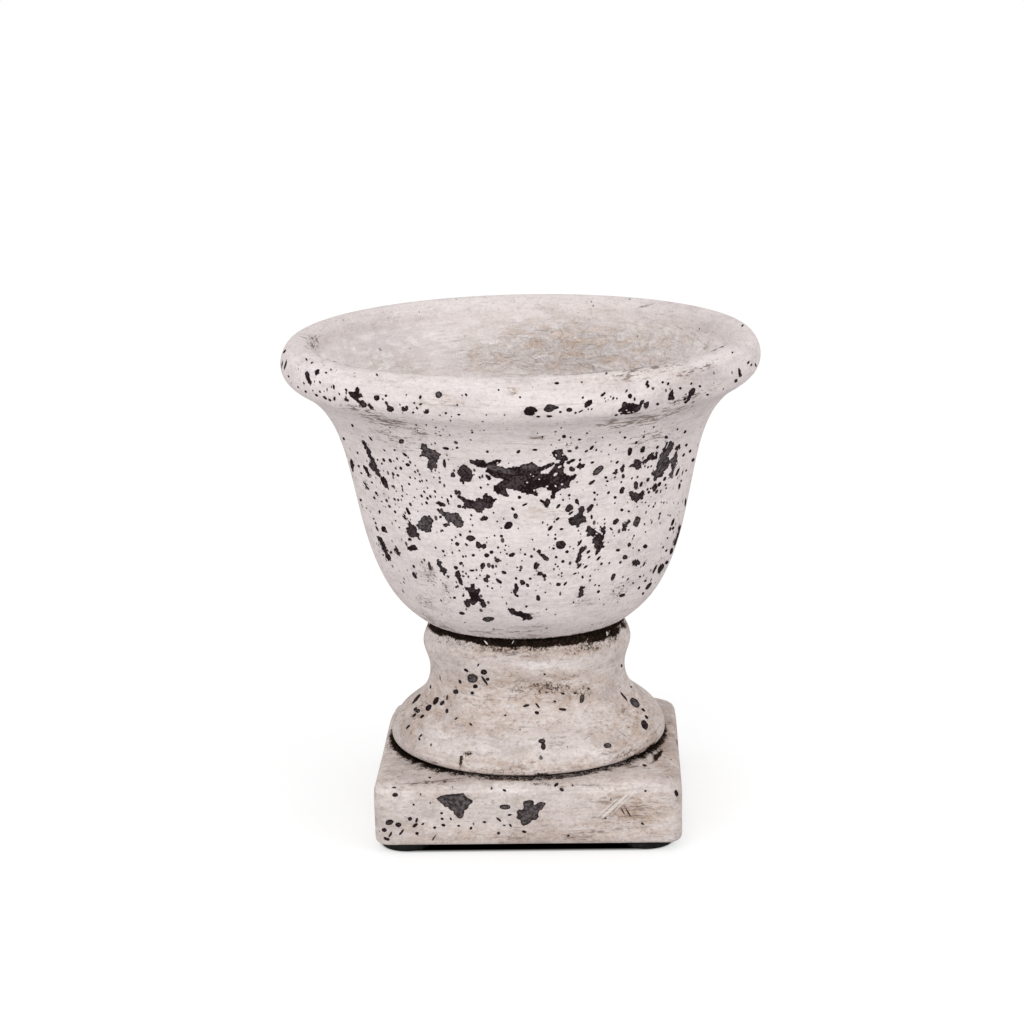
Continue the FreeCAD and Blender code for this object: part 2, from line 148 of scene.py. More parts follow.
# chips whose floor is grey from a dry brush
greyChips = [
    (500, 469.5, 14, 2.4, 14), (529, 467.5, 9, 2.6, 4), (559, 455, 4.5, 3.5, 30), (438.7, 394.7, 3, 3, 0),
    (401.6, 441.4, 2.4, 2, 0), (518.5, 451.7, 2, 1.4, -40), (488.4, 619.2, 5.5, 2.2, -5),
    (598.2, 470.6, 6.5, 2.8, -42), (636.9, 521.7, 5, 2.8, -70),
]
footChips = [
    (478.2, 665.1, 1.5, .8, -70), (466.1, 670.4, 2.2, 1.2, 35), (483.9, 672.1, 2.8, 2.5, 0),
    (484.5, 680.4, 5.5, 1, 55), (487.6, 679.2, 1.8, 1.5, 0), (460, 681.7, 2, 1.3, 60),
    (475.3, 686.3, 2.2, 1.7, 0), (455.8, 691.8, 2.4, 2.1, 0), (472.2, 693, 1.7, 1.5, 0),
    (430.5, 686.9, 1.6, .7, 90), (416.5, 698.7, 6, 1.3, -50), (435.9, 700.7, 4, 1.9, -60),
    (428.6, 707.6, 3.4, 2.2, -45), (442, 703, 2.8, 1.5, -45), (446.9, 711, 2, 1.5, 90),
    (415.4, 708.8, 2, 1.3, -50), (414.4, 715.1, 2.4, 1, -45), (422.2, 716.3, 2.3, 1.2, -40),
    (407.9, 726.9, 2.9, .9, -50), (421.1, 735.2, 1.8, .8, -50), (419.4, 739.1, 1.3, .8, 90),
    (456.1, 718.6, 1.5, .7, -35), (470.7, 724.3, 1.6, .8, 45), (505.4, 715.4, .9, .8, 0),
    (526.4, 705.6, 2.9, 1.2, -15), (537.6, 705.6, 3.2, .9, 50), (537, 712.7, 2, 1.4, 20),
    (562.8, 693.6, 1.8, 1, 15), (575.4, 693.2, 1.5, .9, 0), (588.5, 688.6, 1.2, .9, 40),
    (554.8, 701.6, 1.1, .9, 0), (562.5, 709.4, 3.8, 1.3, 5), (544.5, 674.3, .9, .8, 0),
    (621.6, 665.8, 1.5, .8, 90), (631.1, 686.9, 1.2, .7, 45), (623.9, 696.4, 5.5, .9, 52),
    (643.4, 710, 2.1, 1.1, 38), (646.6, 717.1, 2.2, 1.1, 48), (644.6, 724.9, 4.7, 3, 65),
    (542, 741.2, 3.3, 2.1, 0), (543.3, 746.9, 3, 2.2, 80),
]
footGreyChips = [
    (472.4, 678.4, 5, 4.2, 15), (417.9, 710.8, 2.3, 1.8, 0), (582, 698.7, 4.2, 1.9, -72),
    (634.8, 702.7, 5.5, 3.2, 45), (607.5, 745.6, 3.7, 2.5, 0),
]
plinthChips = [
    (395.3, 794.9, 2.7, 1.9, 0), (393.9, 787.6, 1.8, .6, 0), (413.6, 804.7, 1, 1, 0),
    (504.4, 790.3, 1.8, 1.1, 20), (509.7, 814.9, 1.9, .9, -5), (409.9, 818.9, 2.1, 1.8, 20),
    (389.5, 822.3, 3.9, 2.4, -15), (398.5, 824.8, 2.7, 2.2, 10), (384.3, 830, 2.3, 1.8, 30),
    (416.6, 820.5, 2.6, 1.2, -75), (415.3, 825.2, 3, 1.4, -35), (422.9, 824, 1.3, .9, -30),
    (441.6, 813.3, 1.3, 1.1, 0), (442.3, 818.9, 1.4, 1, 20), (443.4, 825.2, 1.7, 1.3, 20),
    (434.7, 827.6, 1.3, 1.2, 0), (450.8, 818.7, 1.5, .8, 55), (401.3, 832.6, 3.2, .9, -50),
    (417.1, 833.4, 1.6, 1.4, 0), (390.3, 834.7, 3, .9, -60), (386.6, 838.9, 3.2, 1.3, 20),
    (433.9, 837.9, 2.8, .5, -55), (458.7, 825.8, 1.3, .8, 0), (471, 828.2, 1.4, 1, -70),
    (484.4, 822.1, 1.6, .8, 10), (498.9, 819.7, 2.7, .9, 38), (504.1, 825.4, 1.3, .7, 15),
    (510.5, 825.4, 1.6, 1, 60), (498.6, 833.3, 1.3, 1.2, 0), (524.1, 831.8, 2.1, 1.2, 10),
    (429.9, 777.6, 1, .9, 0), (556.3, 784.7, 2.4, 1.5, -45), (561.7, 789.7, 2.2, 1.5, 35),
    (572.6, 785.5, .9, .8, 0), (568.5, 835.7, 1.2, .8, 0), (605.6, 818.3, .9, .8, 0), (645.4, 791, 1, .9, 0),
    (642.5, 823.8, 1.6, .9, 40), (622.8, 811.4, 3.4, .45, 60), (627.6, 811.4, 4.4, .5, 58),
    (676.4, 793.3, 3.2, 1.6, 75), (644.5, 765.3, 2.1, 1, 10), (655.5, 758.4, 6.5, 1.9, -55),
    (677.3, 742.4, 3, .5, 85),
]
plinthGreyChips = [
    (505, 807, 5.2, 2.2, 0),
]
# the larger chips' outlines, read off enlarged parts of the photograph: (left, top, enlargement), outlines
bowlTears = [
    ((340, 420, 8), [
        [(168, 160), (192, 172), (222, 205), (240, 235), (243, 262), (262, 300), (282, 330), (292, 375), (312, 400),
         (318, 440), (312, 455), (292, 425), (270, 405), (245, 385), (235, 360), (250, 340), (240, 305), (222, 285),
         (212, 240), (190, 200)],
        [(330, 452), (350, 460), (375, 490), (378, 540), (365, 540), (345, 510), (325, 485), (322, 465)],
        [(175, 350), (205, 375), (225, 405), (243, 440), (240, 458), (222, 440), (205, 415), (195, 385)],
        [(188, 478), (205, 505), (215, 530), (232, 548), (225, 558), (205, 540), (195, 515)],
        [(88, 310), (105, 330), (108, 370), (105, 410), (92, 380), (85, 345)],
        [(975, 360), (1000, 358), (1005, 372), (1030, 385), (1050, 405), (1060, 428), (1082, 435), (1060, 450),
         (1055, 475), (1035, 490), (1010, 488), (990, 495), (985, 512), (975, 498), (965, 480), (968, 460), (950, 445),
         (942, 415), (955, 385), (970, 378)],
        [(1155, 440), (1175, 435), (1205, 465), (1195, 478), (1170, 465)],
        [(925, 560), (945, 560), (952, 575), (942, 590), (965, 605), (1000, 625), (1040, 640), (1075, 650), (1095, 640),
         (1085, 625), (1105, 625), (1130, 640), (1150, 620), (1155, 598), (1175, 590), (1185, 605), (1215, 620),
         (1245, 635), (1225, 655), (1225, 690), (1190, 710), (1160, 705), (1140, 720), (1135, 745), (1100, 735),
         (1060, 710), (1020, 700), (985, 708), (950, 700), (940, 685), (965, 685), (1000, 690), (995, 665), (965, 630),
         (930, 600), (918, 578)],
        [(555, 815), (575, 830), (600, 850), (618, 870), (620, 905), (640, 955), (612, 935), (595, 925), (575, 935),
         (570, 960), (550, 965), (560, 940), (545, 905), (528, 880), (545, 855), (550, 835)],
        [(500, 745), (520, 765), (540, 800), (530, 798), (508, 770)],
        [(530, 700), (545, 720), (560, 755), (545, 750), (532, 725)],
        [(540, 1020), (570, 1005), (595, 1000), (615, 1020), (612, 1038), (590, 1035), (570, 1048), (550, 1040)],
        [(345, 850), (362, 865), (372, 895), (380, 915), (362, 900), (340, 885), (330, 865)],
        [(300, 930), (325, 940), (345, 975), (365, 1020), (385, 1060), (400, 1100), (405, 1120), (385, 1120),
         (365, 1090), (350, 1050), (330, 1010), (315, 970)],
        [(445, 1010), (460, 1035), (478, 1065), (478, 1080), (455, 1070), (438, 1040)],
    ]),
    ((500, 420, 8), [
        [(-255, 315), (-220, 325), (-180, 322), (-155, 318), (-130, 330), (-115, 345), (-75, 345), (-65, 325),
         (-35, 318), (-5, 322), (12, 330), (0, 345), (-25, 350), (-30, 362), (10, 375), (30, 390), (60, 385),
         (130, 378), (195, 366), (215, 352), (240, 345), (275, 350), (292, 362), (300, 378), (345, 375), (385, 352),
         (435, 335), (432, 355), (395, 372), (360, 392), (312, 406), (330, 430), (385, 432), (400, 405), (425, 385),
         (440, 365), (455, 350), (480, 345), (500, 355), (510, 370), (500, 400), (510, 430), (550, 450), (580, 455),
         (600, 432), (617, 440), (610, 465), (580, 485), (560, 500), (550, 540), (520, 545), (500, 540), (480, 565),
         (450, 575), (440, 600), (435, 625), (415, 625), (410, 600), (415, 570), (385, 560), (370, 540), (340, 535),
         (310, 540), (280, 550), (290, 570), (300, 600), (270, 602), (250, 590), (230, 595), (200, 590), (180, 585),
         (160, 565), (110, 560), (90, 545), (60, 542), (45, 550), (45, 570), (60, 590), (75, 600), (50, 612),
         (10, 600), (-25, 585), (-48, 560), (-40, 530), (-10, 510), (20, 490), (30, 470), (-10, 465), (-40, 460),
         (-70, 440), (-95, 425), (-110, 405), (-105, 385), (-90, 370), (-130, 375), (-170, 370), (-210, 350),
         (-240, 335)],
        [(425, 265), (430, 250), (455, 245), (475, 235), (495, 240), (500, 260), (490, 285), (520, 285), (538, 300),
         (530, 320), (545, 325), (575, 318), (595, 310), (600, 322), (575, 335), (555, 350), (520, 345), (500, 360),
         (485, 350), (470, 320), (440, 300), (425, 285)],
        [(560, 370), (590, 385), (598, 405), (575, 425), (555, 405)],
        [(625, 345), (645, 340), (650, 355), (675, 360), (670, 380), (650, 380), (640, 395), (620, 385)],
        [(1035, 365), (1060, 355), (1075, 340), (1105, 318), (1118, 318), (1110, 340), (1140, 325), (1175, 310),
         (1185, 285), (1210, 265), (1225, 268), (1220, 290), (1235, 285), (1250, 260), (1268, 255), (1260, 285),
         (1245, 312), (1215, 315), (1185, 325), (1160, 345), (1130, 350), (1120, 365), (1130, 380), (1110, 390),
         (1090, 395), (1075, 375), (1040, 372)],
        [(960, 385), (975, 370), (1000, 360), (1000, 380), (990, 400), (975, 415), (960, 400)],
        [(910, 415), (930, 400), (945, 408), (935, 425), (910, 432)],
        [(630, 705), (650, 690), (675, 695), (672, 730), (655, 760), (680, 780), (690, 800), (675, 822), (645, 825),
         (630, 850), (615, 855), (605, 840), (570, 838), (550, 830), (545, 805), (560, 790), (585, 780), (600, 760),
         (625, 750), (632, 730)],
        [(690, 885), (705, 865), (700, 845), (725, 850), (740, 875), (755, 870), (765, 890), (785, 895), (790, 915),
         (810, 915), (830, 935), (820, 960), (840, 975), (820, 990), (830, 1020), (805, 1030), (790, 1055),
         (770, 1080), (760, 1060), (770, 1030), (755, 1010), (765, 985), (740, 980), (745, 950), (765, 935),
         (750, 920), (720, 925), (700, 935), (692, 920), (705, 900)],
        [(800, 850), (815, 865), (838, 848), (842, 870), (825, 880), (840, 895), (830, 915), (815, 900), (815, 880)],
        [(1035, 575), (1060, 570), (1075, 580), (1100, 585), (1125, 580), (1150, 565), (1158, 580), (1145, 605),
         (1140, 630), (1110, 640), (1090, 658), (1070, 640), (1050, 635), (1055, 615), (1035, 600)],
        [(325, 640), (360, 650), (385, 635), (405, 645), (400, 665), (385, 680), (390, 700), (380, 705), (360, 680),
         (335, 660)],
        [(640, 1015), (680, 1010), (680, 1035), (660, 1060), (650, 1090), (655, 1115), (635, 1120), (620, 1090),
         (630, 1050)],
        [(290, 1055), (305, 1038), (322, 1050), (340, 1075), (370, 1090), (395, 1120), (360, 1120), (330, 1095),
         (312, 1075), (300, 1062)],
        [(985, 830), (1010, 815), (1035, 795), (1042, 805), (1025, 830), (1005, 850), (1020, 880), (1005, 885),
         (975, 895), (985, 870), (1000, 860), (985, 845)],
        [(1430, 850), (1445, 840), (1452, 870), (1440, 910), (1425, 945), (1410, 990), (1395, 1010), (1390, 990),
         (1400, 960), (1410, 930), (1425, 900)],
    ]),
    ((400, 560, 6.4), [
        [(415, 175), (435, 180), (455, 170), (465, 150), (478, 158), (475, 180), (490, 190), (508, 185), (512, 205),
         (500, 215), (505, 235), (520, 255), (540, 262), (550, 280), (545, 300), (525, 308), (520, 290), (515, 270),
         (500, 265), (480, 275), (470, 285), (450, 275), (440, 300), (425, 290), (415, 270), (425, 255), (450, 250),
         (455, 235), (440, 215), (430, 195)],
        [(690, 318), (695, 303), (730, 320), (770, 330), (810, 345), (845, 362), (848, 375), (820, 378), (795, 382),
         (770, 365), (735, 352), (705, 338)],
        [(730, 160), (745, 155), (758, 175), (752, 200), (740, 215), (762, 235), (735, 225), (725, 205), (735, 185)],
        [(355, 75), (378, 70), (388, 100), (385, 120), (400, 145), (395, 158), (375, 145), (365, 115), (350, 100)],
        [(232, 0), (255, 5), (262, 30), (285, 45), (298, 70), (290, 95), (270, 85), (258, 55), (240, 30)],
        [(1155, 168), (1170, 170), (1185, 185), (1172, 195), (1178, 215), (1160, 235), (1140, 240), (1145, 215),
         (1152, 195)],
        [(850, 32), (870, 20), (895, 30), (890, 50), (875, 60), (858, 48)],
        [(1480, 28), (1500, 5), (1515, 0), (1535, 8), (1530, 28), (1505, 35)],
    ]),
    ((270, 285, 7), [
        [(250, 608), (262, 605), (272, 625), (275, 650), (285, 675), (292, 698), (280, 700), (268, 680), (255, 655),
         (248, 630)],
        [(328, 592), (345, 592), (340, 615), (325, 632), (315, 620), (318, 605)],
        [(552, 750), (570, 748), (590, 755), (600, 745), (602, 722), (618, 715), (625, 735), (620, 760), (640, 765),
         (648, 782), (625, 785), (615, 800), (628, 815), (648, 806), (670, 830), (672, 850), (655, 862), (640, 850),
         (630, 830), (612, 822), (600, 805), (580, 790), (560, 775)],
        [(685, 830), (700, 835), (715, 852), (730, 870), (712, 868), (695, 855), (685, 842)],
        [(728, 785), (745, 770), (762, 778), (765, 795), (750, 810), (732, 800)],
        [(803, 812), (820, 822), (832, 845), (860, 855), (866, 872), (850, 890), (830, 885), (820, 868), (822, 848),
         (808, 830)],
        [(1075, 875), (1085, 885), (1100, 885), (1098, 862), (1108, 865), (1113, 885), (1100, 900), (1082, 898),
         (1072, 885)],
        [(915, 860), (930, 855), (945, 865), (955, 845), (968, 850), (965, 865), (972, 880), (955, 875), (940, 882),
         (925, 878)],
    ]),
    ((500, 285, 6), [
        [(145, 755), (160, 735), (185, 728), (210, 735), (225, 755), (215, 762), (205, 760), (208, 775), (190, 782),
         (165, 780), (148, 778)],
        [(265, 745), (280, 722), (300, 715), (325, 725), (352, 735), (345, 745), (325, 745), (310, 760), (285, 762),
         (268, 755)],
        [(535, 690), (552, 685), (550, 710), (535, 730), (515, 735), (508, 720), (515, 705)],
        [(708, 750), (730, 738), (735, 720), (742, 700), (755, 705), (770, 715), (800, 710), (820, 720), (835, 720),
         (845, 700), (862, 688), (865, 700), (845, 725), (840, 745), (820, 762), (790, 772), (760, 775), (735, 770),
         (722, 778), (728, 762), (712, 760)],
        [(865, 725), (870, 708), (890, 700), (895, 715), (885, 735), (870, 740)],
        [(1008, 690), (1012, 665), (1022, 645), (1035, 625), (1040, 645), (1035, 665), (1048, 680), (1040, 692),
         (1025, 685)],
        [(1135, 640), (1150, 622), (1168, 622), (1170, 640), (1160, 660), (1145, 668), (1140, 690), (1125, 700),
         (1110, 712), (1105, 705), (1125, 690), (1130, 668)],
        [(1430, 500), (1440, 505), (1442, 525), (1452, 545), (1440, 552), (1432, 535)],
        [(600, 665), (615, 650), (635, 640), (630, 655), (612, 668)],
        [(880, 575), (890, 580), (885, 595), (897, 605), (885, 615), (875, 600)],
    ]),
]
bowlGreyTears = [
    ((340, 420, 8), [
        [(650, 200), (668, 188), (692, 198), (700, 222), (735, 235), (775, 258), (805, 275), (800, 290), (775, 300),
         (790, 308), (775, 330), (762, 345), (780, 360), (775, 382), (750, 380), (735, 385), (730, 412), (718, 385),
         (700, 378), (705, 350), (712, 325), (710, 300), (690, 290), (660, 290), (642, 285), (650, 262), (662, 245),
         (650, 225)],
        [(780, 710), (805, 718), (850, 740), (890, 748), (905, 760), (930, 740), (950, 755), (970, 790), (990, 820),
         (985, 850), (960, 860), (930, 850), (900, 825), (885, 820), (865, 840), (850, 862), (840, 850), (830, 835),
         (855, 830), (870, 815), (850, 800), (830, 770), (800, 745)],
        [(690, 765), (715, 775), (738, 795), (740, 830), (725, 865), (718, 900), (708, 888), (690, 895), (660, 885),
         (640, 875), (620, 870), (625, 830), (645, 800), (655, 785), (670, 770)],
    ]),
    ((500, 420, 8), [
        [(1330, 180), (1345, 195), (1360, 170), (1380, 180), (1390, 210), (1380, 235), (1355, 255), (1345, 280),
         (1340, 305), (1360, 320), (1385, 300), (1390, 265), (1410, 255), (1420, 285), (1415, 320), (1410, 345),
         (1395, 360), (1400, 385), (1390, 420), (1375, 465), (1358, 465), (1358, 440), (1375, 410), (1370, 385),
         (1375, 360), (1365, 345), (1340, 375), (1325, 390), (1315, 410), (1305, 430), (1290, 455), (1265, 455),
         (1245, 480), (1235, 490), (1225, 480), (1240, 450), (1218, 440), (1222, 415), (1250, 400), (1255, 370),
         (1265, 345), (1275, 320), (1270, 300), (1285, 275), (1300, 260), (1305, 230), (1325, 220)],
    ]),
]
plinthTears = [
    ((360, 680, 5), [
        [(382, 590), (420, 577), (450, 573), (475, 572), (500, 570), (518, 567), (525, 580), (540, 592), (562, 603),
         (562, 612), (545, 622), (540, 640), (528, 648), (515, 650), (520, 665), (515, 680), (503, 692), (488, 685),
         (472, 670), (470, 655), (455, 650), (440, 632), (425, 632), (412, 618), (398, 605)],
        [(820, 608), (845, 602), (860, 602), (868, 612), (862, 622), (872, 628), (885, 620), (905, 612), (928, 615),
         (920, 628), (910, 645), (895, 652), (888, 665), (892, 685), (882, 695), (860, 700), (850, 712), (835, 722),
         (820, 728), (808, 718), (805, 700), (790, 692), (782, 685), (795, 675), (785, 660), (800, 650), (815, 650),
         (822, 635), (815, 620)],
    ]),
]
# pin-head chips, read off the same way: (left, top, enlargement), (x, y, radius)
pinheads = [
    ((340, 420, 8), [
        (355, 243, 6), (437, 243, 6), (140, 262, 7), (545, 300, 5), (350, 320, 10), (300, 320, 6),
        (402, 325, 11), (335, 350, 6), (457, 310, 7), (447, 388, 7), (487, 385, 10), (425, 433, 10),
        (463, 443, 8), (600, 415, 7), (638, 437, 6), (560, 458, 6), (600, 468, 6), (640, 492, 7), (657, 488, 6),
        (693, 483, 6), (553, 513, 7), (420, 530, 7), (255, 500, 6), (495, 530, 6), (615, 555, 3), (450, 570, 3),
        (535, 595, 4), (290, 585, 9), (275, 622, 8), (300, 603, 5), (497, 607, 6), (597, 620, 5), (675, 575, 8),
        (653, 608, 8), (700, 628, 8), (722, 612, 8), (760, 572, 7), (693, 662, 9), (815, 620, 6), (372, 645, 9),
        (437, 635, 8), (465, 640, 8), (335, 652, 4), (395, 690, 8), (440, 735, 8), (317, 733, 7), (445, 805, 4),
        (475, 860, 4), (285, 825, 7), (270, 790, 5), (165, 640, 8), (212, 705, 4), (822, 885, 6),
        (1050, 762, 8), (1045, 795, 5), (1060, 843, 6), (1040, 893, 7), (963, 918, 9), (925, 938, 6),
        (895, 960, 6), (1290, 865, 6), (1237, 925, 7), (1175, 943, 5), (1325, 1005, 7), (1265, 1020, 9),
        (1320, 1040, 6), (1285, 1060, 5), (1118, 460, 8), (1183, 517, 6), (1127, 542, 9), (1228, 742, 7),
        (1258, 812, 6), (1310, 790, 5), (1540, 957, 5), (1445, 1038, 5), (1480, 1075, 8), (765, 1022, 6),
        (825, 1050, 8), (838, 1085, 6), (955, 1045, 5), (985, 1092, 7), (345, 1080, 6), (700, 545, 4),
        (430, 330, 3), (170, 425, 6), (150, 370, 7), (215, 330, 4), (505, 330, 4), (825, 75, 4), (878, 122, 4),
        (1350, 345, 4), (100, 45, 8), (30, 150, 8), (760, 185, 5), (610, 40, 5), (690, 40, 5), (620, 85, 5),
        (870, 670, 5), (1140, 440, 4), (350, 590, 3),
    ]),
    ((500, 420, 8), [
        (490, 63, 6), (340, 135, 6), (565, 140, 6), (960, 100, 6), (1230, 57, 5), (1150, 135, 8), (410, 200, 5),
        (770, 240, 8), (928, 235, 5), (870, 275, 4), (850, 522, 4), (920, 460, 7), (970, 498, 6),
        (1055, 468, 6), (1100, 458, 7), (780, 597, 6), (553, 603, 9), (557, 630, 5), (505, 640, 7),
        (485, 595, 4), (617, 497, 5), (435, 815, 6), (627, 885, 5), (645, 912, 5), (443, 918, 7), (443, 950, 9),
        (395, 1020, 4), (560, 1015, 5), (590, 1030, 4), (837, 795, 5), (838, 830, 6), (915, 928, 4),
        (1030, 880, 5), (1072, 928, 6), (1157, 833, 5), (1165, 897, 4), (1065, 1025, 4), (1098, 695, 5),
        (1190, 687, 5), (1228, 693, 6), (1165, 660, 4), (1135, 660, 4), (1290, 658, 4), (1310, 662, 5),
        (1335, 663, 4), (1208, 615, 4), (1190, 578, 9), (1180, 555, 7), (1205, 548, 5), (1325, 520, 6),
        (1330, 545, 6), (1450, 488, 7), (1280, 750, 7), (1345, 760, 4), (1360, 765, 4), (1385, 865, 9),
        (1340, 945, 6), (1305, 1020, 7), (1330, 1045, 7), (1490, 405, 6), (1470, 280, 9), (1490, 200, 9),
        (1520, 250, 9), (1545, 320, 11), (1420, 75, 6), (1020, 660, 3), (920, 665, 4), (70, 1010, 4),
        (55, 1070, 6), (865, 980, 4), (1160, 370, 6), (1185, 378, 6), (1210, 370, 6), (640, 320, 9),
        (665, 560, 3), (1480, 95, 10), (55, 75, 3), (300, 105, 4), (720, 90, 3), (820, 140, 4), (1155, 95, 3),
    ]),
    ((400, 560, 6.4), [
        (140, 15, 5), (88, 43, 7), (308, 107, 7), (425, 315, 4), (423, 87, 5), (402, 75, 4), (490, 65, 5),
        (490, 118, 4), (512, 98, 4), (685, 28, 3), (610, 90, 4), (750, 48, 5), (743, 118, 8), (870, 195, 3),
        (930, 208, 4), (1025, 208, 4), (937, 317, 4), (995, 28, 5), (1010, 42, 5), (1035, 85, 5),
        (1035, 105, 5), (1015, 95, 4), (1218, 103, 5), (1250, 160, 4), (1290, 25, 6), (1340, 20, 5),
        (1410, 15, 7), (1492, 148, 5), (1530, 180, 7), (1555, 215, 6), (590, 180, 5), (560, 168, 5),
        (780, 5, 4), (645, 5, 4), (1110, 272, 4), (655, 240, 3), (1430, 165, 4),
    ]),
    ((270, 285, 7), [
        (350, 680, 6), (237, 687, 5), (250, 748, 6), (300, 740, 4), (350, 748, 6), (485, 763, 6), (790, 800, 5),
        (910, 838, 5), (1030, 863, 7), (1372, 768, 8), (1345, 772, 5), (1310, 840, 6), (1190, 912, 5),
        (1270, 920, 4), (1515, 910, 4), (377, 402, 7), (255, 520, 6), (427, 592, 4), (748, 628, 6),
        (1265, 950, 4), (1133, 287, 4), (507, 225, 6), (1205, 383, 4), (130, 640, 5), (195, 715, 5),
        (560, 552, 6), (850, 588, 5), (1600, 735, 6), (1070, 548, 3),
    ]),
    ((500, 285, 6), [
        (120, 673, 5), (497, 676, 5), (453, 768, 6), (665, 670, 4), (680, 680, 6), (702, 680, 5),
        (1010, 592, 6), (1148, 592, 5), (1108, 685, 7), (27, 780, 4), (1115, 148, 5), (1305, 230, 5),
        (1000, 312, 5), (1455, 243, 5), (150, 260, 5), (970, 285, 3), (1490, 465, 6), (1508, 480, 5),
        (1415, 575, 8), (638, 530, 5), (1395, 405, 4), (550, 745, 5), (530, 745, 4),
    ]),
]

def smoothLine(poles, spacing):
    # the CAD's cubic spline through the same poles, walked in even steps
    data = bpy.data.curves.new("line", "CURVE")
    data.dimensions = "3D"
    spline = data.splines.new("NURBS")
    spline.points.add(len(poles) - 1)
    for point, (across, up) in zip(spline.points, poles):
        point.co = (across, 0, up, 1)
    spline.order_u = 4
    spline.use_endpoint_u = True
    spline.resolution_u = 24
    carrier = bpy.data.objects.new("line", data)
    mesh = bpy.data.meshes.new_from_object(carrier)
    points = np.array([(v.co.x, v.co.z) for v in mesh.vertices])
    bpy.data.objects.remove(carrier)
    bpy.data.curves.remove(data)
    bpy.data.meshes.remove(mesh)
    return evenSteps(points, spacing)


def evenSteps(points, spacing):
    points = np.array(points, float)
    gone = np.concatenate([[0], np.cumsum(np.hypot(*np.diff(points, axis=0).T))])
    count = max(2, round(gone[-1] / spacing) + 1)
    walk = np.linspace(0, gone[-1], count)
    return np.column_stack([np.interp(walk, gone, points[:, 0]), np.interp(walk, gone, points[:, 1])])


def closedOutline(*runs):
    # runs of points end to end, each starting where the last one stopped
    return np.concatenate([run[:-1] for run in runs])


def turnOnWheel(name, outline, steps, frontCuts=0):
    # spun round the axis, then cut more finely on the side that faces the camera
    wheel = bmesh.new()
    row = wheel.verts.layers.float.new("row")
    ring = [wheel.verts.new((-across * mm, 0, up * mm)) for across, up in outline]
    for number, vertex in enumerate(ring):
        vertex[row] = number
    edges = [wheel.edges.new(pair) for pair in zip(ring, ring[1:] + ring[:1])]
    bmesh.ops.spin(wheel, geom=ring + edges, cent=(0, 0, 0), axis=(0, 0, 1), angle=math.tau, steps=steps,
                   use_merge=True, use_duplicate=False)
    if frontCuts:
        level = [edge for edge in wheel.edges if edge.verts[0][row] == edge.verts[1][row]]
        front = [edge for edge in level if edge.verts[0].co.y + edge.verts[1].co.y < 0]
        bmesh.ops.subdivide_edges(wheel, edges=front, cuts=frontCuts, use_grid_fill=True)
    bmesh.ops.recalc_face_normals(wheel, faces=wheel.faces)
    mesh = bpy.data.meshes.new(name)
    wheel.to_mesh(mesh)
    wheel.free()
    piece = bpy.data.objects.new(name, mesh)
    bpy.context.scene.collection.objects.link(piece)
    return piece


def trueRound(piece, outline):
    # the cut edges are brought back to their circles, closest together where the camera looks squarely at them
    crowding = 0.17
    places = placesOf(piece)
    radius = outline[rowsOf(piece).round().astype(int), 0]
    angle = np.arctan2(places[:, 0], -places[:, 1])
    front = np.abs(angle) < math.pi / 2
    angle = np.where(front, angle - crowding * np.sin(2 * angle), angle) - math.pi / 2
    places[:, 0], places[:, 1] = radius * np.cos(angle), radius * np.sin(angle)
    return places, np.arctan2(places[:, 1], places[:, 0]), radius


def placesOf(piece):
    places = np.empty(len(piece.data.vertices) * 3, np.float32)
    piece.data.vertices.foreach_get("co", places)
    return places.reshape(-1, 3).astype(float) / mm


def setPlaces(piece, places):
    piece.data.vertices.foreach_set("co", (places * mm).astype(np.float32).ravel())
    piece.data.update()


def rowsOf(piece):
    rows = np.empty(len(piece.data.vertices), np.float32)
    piece.data.attributes["row"].data.foreach_get("value", rows)
    return rows


def ripple(angle, up, seed, waves):
    # a slow uneven wave between about -1 and 1, from a few sines round the axis that lean as they rise
    spread, lean, highest = 1.7, 0.03, 1.8
    total = 0
    for wave in range(1, waves + 1):
        total = total + np.sin(wave * angle + seed * wave * spread + up * (lean * wave) + wave * wave) / wave
    return total / highest


def smooth(value, low, high):
    share = np.clip((value - low) / (high - low), 0, 1)
    return share * share * (3 - 2 * share)


def finishShape(piece, nodes):
    for polygon in piece.data.polygons:
        polygon.use_smooth = True
    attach(piece, "root")
    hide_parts(*nodes)
    print(piece.name, "has", len(piece.data.polygons), "faces")


bowl = {
    "base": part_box("bowl")[0].z / mm,
    "outside": [(41, 0), (47.4, 4.5), (54.5, 12.7), (61.8, 32.4), (65.7, 53.8), (69.3, 71.4), (75.2, 83.6),
                (82.7, 91.1), (88.6, 93.8), (92, 98.8), (91, 105.6), (87.4, 109.5), (84.3, 109.5)],
    "inside": [(84.3, 109.5), (82.2, 109.5), (79.9, 108.2), (79.4, 104), (77.6, 99), (69.6, 92.3), (60.3, 76.4),
               (56, 53), (52.1, 28), (43.6, 12), (28.4, 12)],
    "drain": 6, "floor": 12,
    "outsideSpacing": 0.76, "insideSpacing": 3.2, "plainSpacing": 4,
    "steps": 170, "frontCuts": 3,
    "sway": 0.25,  # how far from round, millimetres
    "seed": 1.3, "waves": 5, "inward": 1.1, "swayRadii": (20, 50),
    "rimHeights": (80, 92), "rimCalm": 0.6,  # the rim sways less
}


